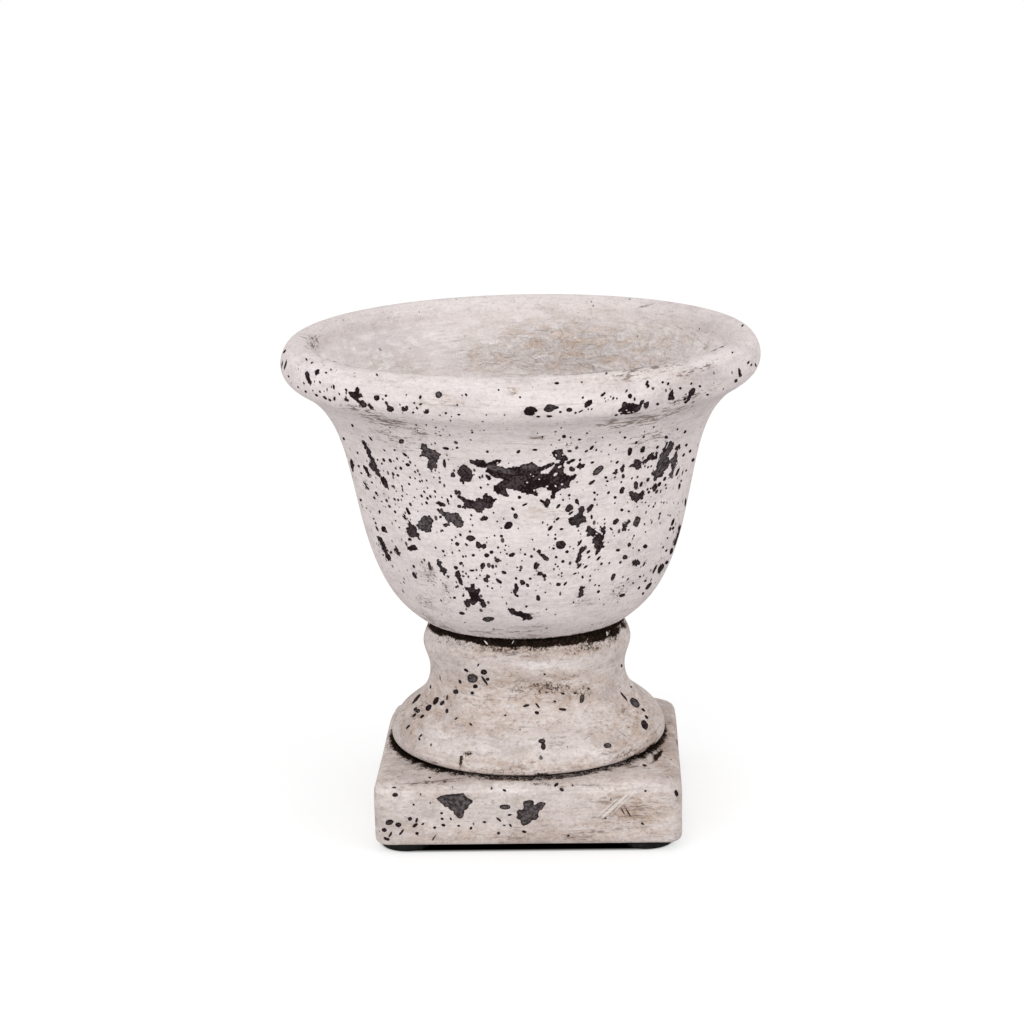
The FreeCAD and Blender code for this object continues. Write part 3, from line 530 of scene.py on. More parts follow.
def makeBowl():
    outside = smoothLine(bowl["outside"], bowl["outsideSpacing"])
    inside = smoothLine(bowl["inside"], bowl["insideSpacing"])
    floor = evenSteps([inside[-1], (bowl["drain"], bowl["floor"])], bowl["plainSpacing"])
    hole = evenSteps([floor[-1], (bowl["drain"], 0)], bowl["plainSpacing"])
    base = evenSteps([hole[-1], outside[0]], bowl["plainSpacing"])
    bowl["crestRow"] = len(outside) - 1
    bowl["floorRow"] = bowl["crestRow"] + len(inside) - 1
    outline = closedOutline(outside, inside, floor, hole, base) + (0, bowl["base"])
    piece = turnOnWheel("bowl_painted", outline, bowl["steps"], bowl["frontCuts"])
    places, angle, radius = trueRound(piece, outline)
    up = places[:, 2] - bowl["base"]
    sway = bowl["sway"] * (ripple(angle, up, bowl["seed"], bowl["waves"]) - bowl["inward"])
    sway = sway * smooth(radius, *bowl["swayRadii"]) * (1 - bowl["rimCalm"] * smooth(up, *bowl["rimHeights"]))
    places[:, :2] *= (1 + sway / np.maximum(radius, 1))[:, None]
    setPlaces(piece, places)
    finishShape(piece, ["bowl"])
    return piece


foot = {
    "base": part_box("foot")[0].z / mm,
    "outside": [(51.8, 0), (54.7, 0), (53.7, 6), (49.8, 11), (40.2, 17), (37.5, 27.8), (39.8, 35.2), (41.5, 39.6),
                (38, 45.6), (38.4, 48.7), (36.8, 48.7)],
    "inside": [(28.4, 48.7), (28.4, 28), (28.4, 16), (38, 9), (41.5, 0)],
    "outsideSpacing": 0.6, "insideSpacing": 3,
    "steps": 160, "frontCuts": 3,
    "sway": 0.2, "seed": 2.1, "waves": 5,
}


def makeFoot():
    outside = smoothLine(foot["outside"], foot["outsideSpacing"])
    inside = smoothLine(foot["inside"], foot["insideSpacing"])
    top = evenSteps([outside[-1], inside[0]], foot["insideSpacing"])
    base = evenSteps([inside[-1], outside[0]], foot["insideSpacing"])
    foot["topRow"] = len(outside) - 1
    outline = closedOutline(outside, top, inside, base) + (0, foot["base"])
    piece = turnOnWheel("foot_painted", outline, foot["steps"], foot["frontCuts"])
    places, angle, radius = trueRound(piece, outline)
    sway = foot["sway"] * (ripple(angle, places[:, 2], foot["seed"], foot["waves"]) - 1)
    places[:, :2] *= (1 + sway / radius)[:, None]
    setPlaces(piece, places)
    finishShape(piece, ["foot"])
    return piece


plinthLow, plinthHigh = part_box("plinth")
plinth = {
    "half": (plinthHigh.x - plinthLow.x) / 2 / mm,
    "base": plinthLow.z / mm,
    "top": plinthHigh.z / mm,
    "corner": 6, "backCorner": 9,
    "topRound": 4.5, "bottomRound": 2.5,
    # where a round's poles stand from its corner, as shares of its radius
    "bend": 0.45, "topEnd": 1.6, "bottomStart": 1.3, "bottomEnd": 1.4,
    "sidePoles": (9, 14),
    "hole": 40, "holeBottom": 43,
    "squareBand": (1, 7),  # how far outside the hole the rings turn from round to square
    "shift": 0.75,  # the slab sits a little to the right of the foot's axis
    "backFall": 5.0,  # how far the top sinks at the worn back corners
    "backSines": (0.2, 0.6), "wornReach": (57, 80), "wornHeights": (0.3, 1),
    "sideSpacing": 0.6, "topSpacing": 0.9, "holeSpacing": 4, "underSpacing": 2,
    "steps": 180, "frontCuts": 3,
    "sway": 0.18, "seed": 3.3, "waves": 6,
}


def squareReach(angle, half, corner):
    # from the centre to the side of a square with rounded corners, in one direction
    across, deep = np.abs(np.cos(angle)), np.abs(np.sin(angle))
    reach = half / np.maximum(across, deep)
    inner = half - corner
    onCorner = reach * np.minimum(across, deep) > inner
    both = inner * (across + deep)
    bend = both + np.sqrt(np.maximum(both ** 2 - 2 * inner ** 2 + corner ** 2, 0))
    return np.where(onCorner, bend, reach)


def makePlinth():
    half, base, top = plinth["half"], plinth["base"], plinth["top"]
    bend, end = plinth["bend"], plinth["topEnd"]
    roundTop, roundBottom = plinth["topRound"], plinth["bottomRound"]
    side = smoothLine([
        (half - roundBottom * plinth["bottomStart"], base), (half - roundBottom * bend, base),
        (half, base + roundBottom * bend), (half, base + roundBottom * plinth["bottomEnd"]),
        *((half, base + height) for height in plinth["sidePoles"]), (half, top - roundTop * end),
        (half, top - roundTop * bend), (half - roundTop * bend, top), (half - roundTop * end, top)],
        plinth["sideSpacing"])
    across = evenSteps([side[-1], (plinth["hole"], top)], plinth["topSpacing"])
    down = evenSteps([across[-1], (plinth["holeBottom"], base)], plinth["holeSpacing"])
    under = evenSteps([down[-1], side[0]], plinth["underSpacing"])
    plinth["sideRows"] = len(side) + len(across) - 2
    outline = closedOutline(side, across, down, under)
    piece = turnOnWheel("plinth_painted", outline, plinth["steps"], plinth["frontCuts"])
    places, angle, radius = trueRound(piece, outline)
    back = smooth(np.sin(angle), *plinth["backSines"])
    corner = plinth["corner"] + (plinth["backCorner"] - plinth["corner"]) * back
    inset = half - radius
    reach = squareReach(angle, radius, np.maximum(corner - inset, 1))
    square = smooth(radius, *(plinth["holeBottom"] + more for more in plinth["squareBand"]))
    reach = radius + (reach - radius) * square
    up = (places[:, 2] - base) / (top - base)
    reach += plinth["sway"] * (ripple(angle, places[:, 2], plinth["seed"], plinth["waves"]) - 1) * square
    places[:, 0] = np.cos(angle) * reach + plinth["shift"] * square
    places[:, 1] = np.sin(angle) * reach
    worn = back * smooth(reach, *plinth["wornReach"])
    places[:, 2] -= plinth["backFall"] * worn * smooth(up, *plinth["wornHeights"])
    setPlaces(piece, places)
    finishShape(piece, ["plinth"])
    return piece


bed = {
    "bowl": {"node": "bowl_bed", "grain": 0.45},
    "foot": {"node": "foot_bed", "grain": 0.5},
    "steps": 300,
    "edge": 0.3, "bulge": 0.2,  # shares of the bed's height
    "lumps": ((7, 0.7, 6), (19, 2.9, 5)),  # repeats round the axis, seed, waves
    "inward": 0.8, "innerCalm": 2,
}


def makeBed(name, settings):
    # a rough ring of mortar between two castings
    low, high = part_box(settings["node"])
    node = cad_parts[settings["node"]]
    radii = [math.hypot(v.co.x, v.co.y) / mm for v in node.data.vertices]
    outer, inner = max(radii), min(radii)
    base, top = low.z / mm, high.z / mm
    middle = (base + top) / 2
    edge = (top - base) * bed["edge"]
    outline = np.array([
        (inner, base), (inner, top), ((inner + outer) / 2, top), (outer - edge, top), (outer, top - edge),
        (outer + edge * bed["bulge"], middle), (outer, base + edge), (outer - edge, base),
        ((inner + outer) / 2, base)])
    piece = turnOnWheel(name, outline, bed["steps"])
    places = placesOf(piece)
    angle = np.arctan2(places[:, 1], places[:, 0])
    radius = np.hypot(places[:, 0], places[:, 1])
    rough = sum(ripple(angle * times, places[:, 2], seed, waves) / 2 for times, seed, waves in bed["lumps"])
    moved = radius + settings["grain"] * (rough - bed["inward"]) * smooth(radius, inner + bed["innerCalm"], outer)
    places[:, :2] *= (moved / radius)[:, None]
    setPlaces(piece, places)
    finishShape(piece, [settings["node"]])
    return piece


pad = {
    "radius": 10, "thickness": 3, "round": 0.7,
    "dish": 0.2, "dishRadii": (5.5, 7.5), "axis": 0.02,
    "shoulder": 2, "taper": (0.15, 0.3, 0.8),  # how far the upper poles stand inside the radius
    "spacing": 0.5, "steps": 80,
}


def makePad(node):
    # a moulded rubber foot with a rounded edge and a shallow dish below
    low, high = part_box(node)
    centre = (low + high) / 2 / mm
    radius, rounding, thick, dish = pad["radius"], pad["round"], pad["thickness"], pad["dish"]
    dishFlat, dishEnd = pad["dishRadii"]
    shoulder, edge, top = (radius - less for less in pad["taper"])
    line = smoothLine([
        (pad["axis"], dish), (dishFlat, dish), (dishEnd, 0), (radius - rounding, 0), (radius, 0), (radius, rounding),
        (shoulder, pad["shoulder"]), (edge, thick), (top, thick), (pad["axis"], thick)], pad["spacing"])
    piece = turnOnWheel(node.replace("pad", "rubber"), line, pad["steps"])
    places = placesOf(piece)
    places[:, 0] += centre.x
    places[:, 1] += centre.y
    setPlaces(piece, places)
    finishShape(piece, [node])
    return piece


painted = {"bowl": makeBowl(), "foot": makeFoot(), "plinth": makePlinth()}
beds = [makeBed(name + "_mortar", bed[name]) for name in ("bowl", "foot")]
pads = [makePad(node) for node in sorted(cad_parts) if node.startswith("pad_")]

# soft marks: (x, y, half length, half width, tilt, strength)
bowlMarks = {
    "smudge": [  # fine brown hatching left by a dry brush
        (388, 421, 34, 7, 14, 1), (365, 412, 20, 6, 20, .85), (418, 432, 28, 6, 12, .7),
        (400, 438, 40, 14, 15, .5), (612, 424, 18, 6, -6, .95), (640, 420, 28, 7, -12, .9),
        (668, 412, 24, 7, -20, .6), (690, 397, 34, 4, -22, .85), (655, 436, 34, 12, -20, .5),
        (536, 438, 14, 5, 0, .5), (566, 447, 8, 4, -20, .5), (540, 462, 3, 2, -40, .9),
        (645, 372, 44, 8, -10, .7), (652, 373, 5, 5, 60, .6), (440, 402, 22, 9, 0, .4),
        (314, 343, 9, 8, 50, .85), (430, 576, 14, 20, 0, .3), (447, 590, 8, 22, 0, .3),
        (425, 602, 14, 14, 30, .35), (582, 600, 22, 9, -10, .35), (530, 614, 14, 6, 0, .55),
        (620, 590, 20, 10, -30, .45), (436, 628, 30, 7, 24, .6), (505, 632, 60, 7, 0, .5),
        (590, 630, 44, 8, -14, .5), (707, 343, 6, 12, 20, .45), (655, 312, 24, 4, 10, .5),
        (512, 391, 6, 6, 0, .65), (655, 560, 24, 30, -60, .25), (700, 330, 16, 14, 30, .2),
        (692, 372, 36, 6, -22, .65), (538, 625, 8, 4, -20, .6), (560, 512, 14, 16, 0, .3),
        (345, 408, 30, 5, 32, .4), (365, 480, 4, 40, -14, .25), (470, 345, 40, 20, 10, .25),
    ],
    "wash": [  # warm tan wash
        (536, 508, 12, 16, 0, .6), (570, 348, 88, 34, 0, 1), (505, 356, 60, 22, 0, .7),
        (440, 402, 30, 10, 0, .4), (512, 391, 9, 6, 0, .8), (640, 350, 60, 30, -8, .65),
        (620, 370, 60, 10, -8, .3), (570, 560, 60, 40, 0, .12), (400, 370, 40, 14, 10, .35),
        (690, 380, 30, 8, -22, .3), (520, 330, 60, 12, 0, .4),
    ],
    "greyAndShade": [  # painted shade on the rim front, under the rim, inside below the lip and low on the bowl, with some greyer paint
        (520, 434, 150, 10, 0, .12), (370, 430, 40, 20, 40, .35), (680, 425, 40, 20, -35, .35),
        (385, 348, 60, 26, -4, .75), (350, 330, 50, 20, -20, .25), (690, 340, 40, 24, 30, .4),
        (690, 490, 10, 60, 10, .1), (470, 330, 60, 16, 0, .1), (400, 590, 30, 30, 40, .28),
        (530, 630, 110, 14, 0, .6), (530, 387, 140, 10, 0, .45), (690, 383, 46, 15, -22, .95),
    ],
    # paler paint, with painted highlights along the rim crest, the inner lip and the bowl's front
    "pale": [
        (440, 380, 110, 7, 6, .6), (560, 376, 100, 6, -4, .6), (322, 372, 40, 15, 28, .8),
        (710, 360, 40, 9, -20, .4), (520, 308, 150, 6, 0, .5), (540, 560, 100, 40, 0, .25),
        (455, 520, 70, 50, 0, .3), (520, 480, 160, 40, 0, .25), (400, 312, 60, 6, -18, .4),
        (640, 308, 50, 5, 12, .3),
    ],
    "speckle": [  # where the pin-head specks crowd
        (400, 490, 36, 45, 0, .9), (432, 486, 40, 34, 0, .8), (500, 562, 60, 34, 0, .85),
        (572, 560, 60, 40, 0, .7), (662, 490, 32, 50, 0, .8), (640, 545, 40, 34, 0, .5),
        (400, 556, 26, 40, -20, .7), (340, 394, 44, 10, 30, .75), (650, 393, 60, 8, -10, .5),
        (430, 440, 60, 14, 10, .5), (560, 440, 90, 12, 0, .35), (470, 600, 50, 16, 0, .4),
    ],
    "grimeAndShade": [
        (450, 629, 22, 2, 25, .4), (540, 638, 60, 1.6, 0, .4), (605, 630, 22, 2, -22, .4),
        (430, 575, 9, 16, -20, .36), (446, 592, 6, 20, 0, .36), (424, 600, 12, 8, 30, .35),
        (436, 622, 26, 6, 26, .33), (582, 602, 18, 6, -10, .3), (618, 592, 18, 7, -32, .3),
        (560, 512, 8, 10, 0, .2), (640, 556, 12, 22, -50, .16),
    ],
}
footMarks = {
    "smudge": [
        (420, 706, 20, 12, -30, .6), (540, 690, 60, 14, 0, .5), (635, 755, 24, 10, -30, .9),
        (602, 758, 20, 8, -10, .6), (545, 740, 80, 24, 0, .25), (480, 700, 40, 16, 0, .35),
        (520, 770, 70, 6, 0, .55), (430, 762, 30, 8, 25, .5), (648, 690, 20, 30, 20, .3),
        (505, 655, 60, 10, 0, .4), (590, 735, 10, 6, -20, .4), (655, 735, 12, 12, 0, .4),
        (520, 724, 70, 6, 0, .4), (620, 712, 30, 14, 20, .35),
    ],
    "wash": [
        (530, 690, 90, 26, 0, .9), (480, 722, 90, 14, 0, .7), (530, 652, 100, 8, 0, .75),
        (440, 700, 40, 26, -30, .8), (630, 725, 40, 34, 20, .9), (530, 765, 110, 10, 0, .7),
        (450, 650, 12, 30, 0, .1), (616, 650, 12, 30, 0, .2), (412, 725, 20, 30, -30, .9),
    ],
    # painted shade on the foot's sides, below the collar and on the base
    "greyAndShade": [
        (445, 690, 16, 24, 0, .35), (612, 690, 16, 24, 0, .3), (525, 676, 90, 8, 0, .15),
        (408, 735, 22, 30, -20, .5), (650, 735, 18, 26, 20, .5), (520, 662, 80, 9, 0, .5),
        (530, 742, 90, 18, 0, .4),
    ],
    # painted highlights on the foot's bead and on the flare of its base
    "pale": [
        (548, 666, 44, 6, 0, .6), (520, 744, 70, 9, 0, .4), (440, 738, 26, 12, 0, .4), (600, 752, 20, 7, 0, .6),
        (470, 655, 30, 6, 10, .3),
    ],
    # grime; the black band under the bowl's edge also holds the bowl's painted shadow
    "grimeAndShade": [
        (436, 630, 12, 4, 36, 1.3), (455, 635.5, 16, 4, 20, 1.3), (480, 641, 18, 4.4, 12, 1.3),
        (508, 644, 22, 4.6, 3, 1.3), (540, 644, 24, 4.4, 0, 1.3), (572, 641, 20, 4.8, -8, 1.3),
        (598, 637.5, 16, 5.4, -16, 1.2), (614, 632, 9, 5.4, -36, 1.2), (623, 625, 5, 5, -60, .9),
        (520, 650, 60, 5, 0, .48), (588, 647, 26, 6, -12, .56), (460, 643, 24, 3.5, 16, .45),
        (612, 640, 11, 7, -30, .45), (505, 649, 30, 3, 4, .5), (440, 640, 10, 6, 30, .3),
        (550, 688, 32, 8, 0, .52), (520, 690, 12, 12, 0, .36), (583, 692, 14, 8, -20, .48),
        (575, 676, 30, 3, -20, .25), (461, 761, 2.5, 8, 6, .9), (468, 754, 6, 3.5, -20, .72),
        (405, 757, 14, 1.7, 34, .8), (425, 768, 14, 1.7, 22, .8), (447, 774, 12, 2, 12, .8),
        (480, 775.5, 24, 2.2, 4, .6), (520, 776, 30, 2, 0, .5), (542, 775, 9, 2.8, 0, .85),
        (595, 769.5, 24, 1.1, -13, .5), (630, 759.5, 15, 3.2, -30, 1), (650, 748, 11, 3, -42, 1),
        (638, 752, 12, 3, -34, .42), (663, 738, 1.8, 7, 20, .7), (391.5, 742, 1.6, 11, -14, .7),
        (500, 771, 60, 4, 0, .28), (625, 754, 16, 5, -24, .36), (610, 700, 10, 10, 0, .22),
        (540, 724, 14, 8, 10, .2),
    ],
}
plinthMarks = {
    "smudge": [
        (440, 782, 44, 3, -3, .8), (560, 838, 90, 6, 0, .5), (470, 838, 70, 6, 0, .4),
        (650, 806, 16, 12, -20, .7), (620, 812, 46, 24, 0, .6), (600, 830, 34, 8, 0, .6),
        (540, 826, 34, 8, 0, .5), (645, 826, 24, 8, 0, .5), (480, 800, 60, 14, 0, .3),
        (390, 775, 14, 14, 0, .4), (670, 730, 8, 24, 0, .5), (660, 770, 24, 8, 0, .4), (645, 840, 14, 3, 0, .6),
        (582, 787, 44, 5, 0, .45), (520, 812, 40, 20, 0, .35), (380, 810, 6, 30, 0, .4),
    ],
    "wash": [
        (634, 812, 42, 26, 0, 1), (520, 837, 130, 7, 0, .6), (590, 826, 60, 10, 0, .5),
        (440, 790, 50, 14, 0, .25), (530, 780, 150, 6, 0, .25), (668, 740, 16, 40, 0, .9),
        (390, 760, 16, 30, 0, .2), (420, 830, 40, 12, 0, .3), (662, 715, 18, 14, 0, .6),
        (662, 765, 22, 12, 0, .6),
    ],
    # painted shade on the front face, along its bottom edge, on the rounded side corners and at the top's right back
    "greyAndShade": [
        (530, 815, 160, 24, 0, .38), (530, 840, 160, 4, 0, .5), (678, 800, 5, 40, 0, .5),
        (375, 810, 4, 30, 0, .3), (670, 738, 14, 34, 0, .4),
    ],
    # painted highlight along the front top edge, and paler paint on the front
    "pale": [
        (540, 791, 160, 3, 0, .5), (470, 788, 60, 4, 0, .3), (590, 786, 60, 3, 0, .4),
        (400, 806, 30, 14, 0, .35), (534, 801.5, 2.5, 1.6, 30, 1), (658, 800, 14, 10, 0, .2),
    ],
    "grimeAndShade": [
        (545, 778, 14, 1.8, 0, .6), (452, 775.5, 9, 1.6, 10, .6), (500, 779, 50, 3, 0, .25),
        (425, 768, 26, 4, 26, .3), (440, 782, 34, 1.3, -4, .4), (411, 764, 18, 5, 30, .36),
        (388, 745, 5, 12, -15, .3), (658.5, 755, 8, 2.4, -52, 1.3), (650, 763, 8, 2.5, -20, .3),
        (530, 838, 160, 5, 0, .16), (645, 769, 8, 2, -8, .6), (545, 784, 30, 2, 0, .4),
    ],
}
# spots of paint left standing inside the chips: (x, y, half length, half width, tilt)
islands = [
    (555.6, 474.4, 2.3, 1.3, -35), (527.1, 482.5, 1.1, .9, 0), (539.3, 479.3, 1.1, .8, 0),
    (555.6, 486, 1.3, .9, 50), (562.1, 484.3, 1.3, 1, -30), (534.3, 490.5, 1, .9, 0),
    (547.1, 486.4, 1.4, .9, 0), (559.6, 466.9, 2.2, 1.1, -25), (556, 455.3, 1.3, .8, 60),
    (563, 454.8, 1.2, .8, -50), (558.8, 460.8, 1.5, .9, 0), (566, 461.5, 1.1, .8, 0), (530.5, 474.3, .7, .6, 0),
    (533.4, 476.2, .8, .6, 0), (497.5, 463, 1.4, .7, -10), (595.9, 529.5, 1.4, 1, 30),
    (596.8, 533.6, 1.2, .8, 0), (603.4, 541, 1.5, 1, -40), (626.7, 410.3, .9, .6, 0),
    (628.6, 412.4, 1.6, .6, -8), (633.3, 412, 1, .7, 0), (621, 412.4, 1, .7, 0), (667, 446.5, 2.4, .5, -65),
]
# fine lines: (x, y, half length, half width, tilt, strength), dark above zero and pale below it
bowlLines = [
    (660, 321, 26, 1, 13, .3), (686, 331, 20, 1, 26, .35), (700, 341, 14, 1, 40, .3),
    (670, 327, 26, .9, 19, .25), (693, 340, 18, .9, 36, .25), (590, 373, 40, .7, -5, .35),
    (640, 368, 26, .6, -9, .4), (668, 362, 12, .6, -20, .4), (575, 452, 60, .5, 0, .15),
    (305, 338, 7, .6, 20, .6), (312, 345, 5, .7, 70, .7), (317, 340, 4, .8, 62, .8),
    (645, 306, 10, 1.2, -14, .5), (440, 405, 60, .8, 4, .2), (560, 405, 60, .8, -3, .2),
    (523, 444, 30, .6, 2, .25),
]
footLines = [
    (486, 642.5, 3, .75, 48, -1), (493, 637.5, 2.4, .9, 0, -1), (513, 642, 2.4, .5, -60, -.7),
    (607, 633.5, 2.4, .7, 82, -.9), (446, 772, 2.4, .7, 66, -.9), (486, 774.5, 2.4, .8, 40, -.9),
    (398, 757, 1, .7, 0, -.6), (540, 777.4, 60, .8, 0, .8), (590, 771.5, 34, .8, -10.5, 1),
    (622, 763.8, 14, 1, -20, 1), (640, 756, 12, 1.3, -33, 1), (540, 776, 20, 1.2, -3, .7),
    (624, 735, 10, .6, 35, .5), (600, 722, 20, .5, -12, .35), (560, 660, 24, .6, -50, .25),
    (575, 655, 20, .5, -40, .25), (500, 725, 30, .5, 0, .25), (560, 732, 40, .5, 0, .25),
]
plinthLines = [
    (615, 806, 20, 1.9, -42, -.6), (607, 808, 15, 1.4, -42, -.4), (625, 801, 14, 1.5, -44, -.4),
    (618, 811, 14, 1, -42, .16), (580, 829, 22, 1.2, -3, -.2), (655, 808, 10, 1.2, 35, -.2),
    (650, 813, 9, 1.2, 40, -.2), (643, 800, 8, 1.2, 40, -.2), (446, 780, 26, .9, -6, .7),
    (410, 783.5, 18, .8, -3, .5), (500, 779, 40, .8, 0, .6), (570, 776.5, 24, 1.2, -7, .8),
    (655.5, 758.4, 7, 1.9, -55, .9), (657, 755, 8, 1.5, -45, .8), (645, 765.5, 2, 1, 10, .9),
    (632, 767, 12, 1, -10, .6), (520, 846, 90, .8, .5, .4), (640, 843, 24, .8, -3, .4),
    (375, 790, 14, .7, 84, .35),
]


edges = {
    "far": -6.0,  # what the chip fields say away from every chip, in pixels
    "look": 6,  # how far round an outline they reach
    "tearGrowth": 0.4, "chipGrowth": 0.3, "dotGrowth": (0.15, 0.1),
    "raggedness": (0.25, 0.55), "raggedRise": 0.015,  # large tears have rougher edges
    "finest": 1.7,  # half widths below it are too fine for the mesh
    "shown": 0.02,  # how squarely a point has to face the camera
    "hidden": (-0.02, 0.1),
}
soft = {"reach": 2.3, "fall": -1.2, "power": 1.3}
pinhead = {"sideways": 100, "longer": 0.5, "narrower": 0.12, "growth": 0.1, "tilt": 55}
# darkening by height: millimetres where it starts and where it is full, and its strength there
bowl.update(
    dirtUnder=(1.2, 0.1, 0.8), underRows=4, insideRows=(3, 20),
    calmHeights=(78, 88), calm=0.5)  # the rim's chips are less ragged
# the collar's top: grime, with the bowl's painted shadow along it; the base darker toward the bottom
foot.update(dirtTop=(45.4, 47.8, 1.2), dirtUnder=(1.1, 0.1, 0.55), raggedness=0.7)
# the ring round the foot is wider at the left and right: a value and what the two sides add to it
plinth.update(
    topDepth=3, ringLeft=(480, 425), ringRight=(600, 645), ringOutside=(55.7, 1.6, 0.3),
    ringInside=(53.8, 0.2, 0), ringStrength=(0.62, 0.3, 0.2), dirtUnder=0.9, raggedness=0.4)


def onPicture(places):
    # where points of the object fall in the photograph, in pixels
    toCamera = np.array(shot.matrix_world.inverted())
    local = places * mm @ toCamera[:3, :3].T + toCamera[:3, 3]
    scale = camera["lens"] / camera["sensor"] * camera["picture"]
    x = camera["axisPixel"] + scale * local[:, 0] / -local[:, 2]
    return np.column_stack([x, camera["picture"] / 2 - scale * local[:, 1] / -local[:, 2]])


def facingOf(piece, places):
    # how squarely each point faces the camera, 1 to -1
    normals = np.empty(len(places) * 3, np.float32)
    piece.data.vertex_normals.foreach_get("vector", normals)
    view = np.array(shot.matrix_world.translation) / mm - places
    view /= np.linalg.norm(view, axis=1)[:, None]
    return (normals.reshape(-1, 3) * view).sum(axis=1)


def inEllipse(spots, x, y, halfLong, halfShort, tilt):
    turn = math.radians(tilt)
    along = ((spots[..., 0] - x) * math.cos(turn) + (spots[..., 1] - y) * math.sin(turn)) / halfLong
    across = ((spots[..., 1] - y) * math.cos(turn) - (spots[..., 0] - x) * math.sin(turn)) / halfShort
    return along, across


def outlineDepth(spots, line):
    # how far inside a closed outline each spot lies, below zero outside it
    inside = np.zeros(len(spots), bool)
    closest = np.full(len(spots), 1e9)
    for start, end in zip(line, np.roll(line, -1, axis=0)):
        step = end - start
        share = np.clip(((spots - start) @ step) / max(step @ step, 1e-9), 0, 1)
        closest = np.minimum(closest, np.linalg.norm(spots - start - share[:, None] * step, axis=1))
        crosses = (start[1] > spots[:, 1]) != (end[1] > spots[:, 1])
        if step[1]:
            inside ^= crosses & (spots[:, 0] < start[0] + (spots[:, 1] - start[1]) * step[0] / step[1])
    return np.where(inside, closest, -closest)


def chipField(pixels, shown, chips, tears):
    # pixels inside the nearest chip's edge, below zero outside it, and how ragged that edge is
    smoothest, roughest = edges["raggedness"]
    field, ragged = np.full(len(pixels), edges["far"]), np.full(len(pixels), smoothest)
    seen = np.flatnonzero(shown)
    spots = pixels[seen]
    for (left, top, enlargement), lines in tears:
        for line in lines:
            line = np.array(line, float) / enlargement + (left, top)
            low, high = line.min(axis=0) - edges["look"], line.max(axis=0) + edges["look"]
            near = np.flatnonzero(((spots > low) & (spots < high)).all(axis=1))
            depth = outlineDepth(spots[near], line) + edges["tearGrowth"]
            closer = near[depth > field[seen[near]]]
            field[seen[near]] = np.maximum(field[seen[near]], depth)
            ragged[seen[closer]] = min(roughest, smoothest + edges["raggedRise"] * (high - low).min())
    for x, y, halfLong, halfShort, tilt in chips:
        near = np.flatnonzero((np.abs(spots - (x, y)) < halfLong + 8).all(axis=1))
        along, across = inEllipse(spots[near], x, y, halfLong, halfShort, tilt)
        reach = np.hypot(along, across)
        slope = np.hypot(along / halfLong, across / halfShort)
        inside = np.where(reach < 0.05, halfShort, (1 - reach) * reach / np.maximum(slope, 1e-6))
        inside = np.minimum(inside, halfShort) + edges["chipGrowth"]
        field[seen[near]] = np.maximum(field[seen[near]], inside)
    return field, ragged


def softField(pixels, shown, marks):
    field = np.zeros(len(pixels))
    seen = np.flatnonzero(shown)
    spots = pixels[seen]
    for x, y, halfLong, halfShort, tilt, strength in marks:
        near = np.flatnonzero((np.abs(spots - (x, y)) < soft["reach"] * max(halfLong, halfShort)).all(axis=1))
        along, across = inEllipse(spots[near], x, y, halfLong, halfShort, tilt)
        share = strength * np.exp(soft["fall"] * (along ** 2 + across ** 2) ** soft["power"])
        field[seen[near]] = np.maximum(field[seen[near]], share)
    return field


def keepField(piece, name, field, kind="FLOAT", domain="POINT"):
    data = piece.data.attributes.new(name, kind, domain)
    data.data.foreach_set("vector" if kind == "FLOAT_VECTOR" else "value", np.asarray(field, np.float32).ravel())


def keepSpots(piece, name, pixels, shown, marks):
    # marks finer than the mesh: each face knows where its nearest one lies, as (along, across, third number)
    # how many pixels off a mark still counts, what a face far from all marks is told, and how far one looks
    reach, nowhere, margin = 6.0, (9.0, 9.0, 1.0), 4
    faces = len(piece.data.polygons)
    starts = np.empty(faces, np.int32)
    corners = np.empty(len(piece.data.loops), np.int32)
    piece.data.polygons.foreach_get("loop_start", starts)
    piece.data.loops.foreach_get("vertex_index", corners)
    counts = np.diff(np.append(starts, len(corners)))
    around = pixels[corners]
    middles = np.add.reduceat(around, starts, axis=0) / counts[:, None]
    seen = np.flatnonzero(np.minimum.reduceat(shown[corners].astype(int), starts) > 0)
    middles = middles[seen]
    best = np.full(len(seen), reach)
    field = np.tile(nowhere, (len(corners), 1))
    for x, y, halfLong, halfShort, tilt, third in marks:
        near = np.flatnonzero((np.abs(middles - (x, y)) < halfLong + halfShort + margin).all(axis=1))
        along, across = inEllipse(middles[near], x, y, halfLong, halfShort, tilt)
        away = (np.hypot(along, across) - 1) * halfShort
        closer = away < best[near]
        best[near[closer]] = away[closer]
        for face in seen[near[closer]]:
            run = slice(starts[face], starts[face] + counts[face])
            field[run, 0], field[run, 1] = inEllipse(around[run], x, y, halfLong, halfShort, tilt)
            field[run, 2] = third
    keepField(piece, name, field, "FLOAT_VECTOR", "CORNER")


def pinRow(x, y, radius):
    # toward the sides the pin heads are drawn out, as if splashed from the middle
    side = min(max((x - camera["axisPixel"]) / pinhead["sideways"], -1), 1)
    halfLong = radius * (1 + pinhead["longer"] * abs(side)) + pinhead["growth"]
    halfShort = radius * (1 - pinhead["narrower"] * abs(side)) + pinhead["growth"]
    return x, y, halfLong, halfShort, -pinhead["tilt"] if side > 0 else pinhead["tilt"]


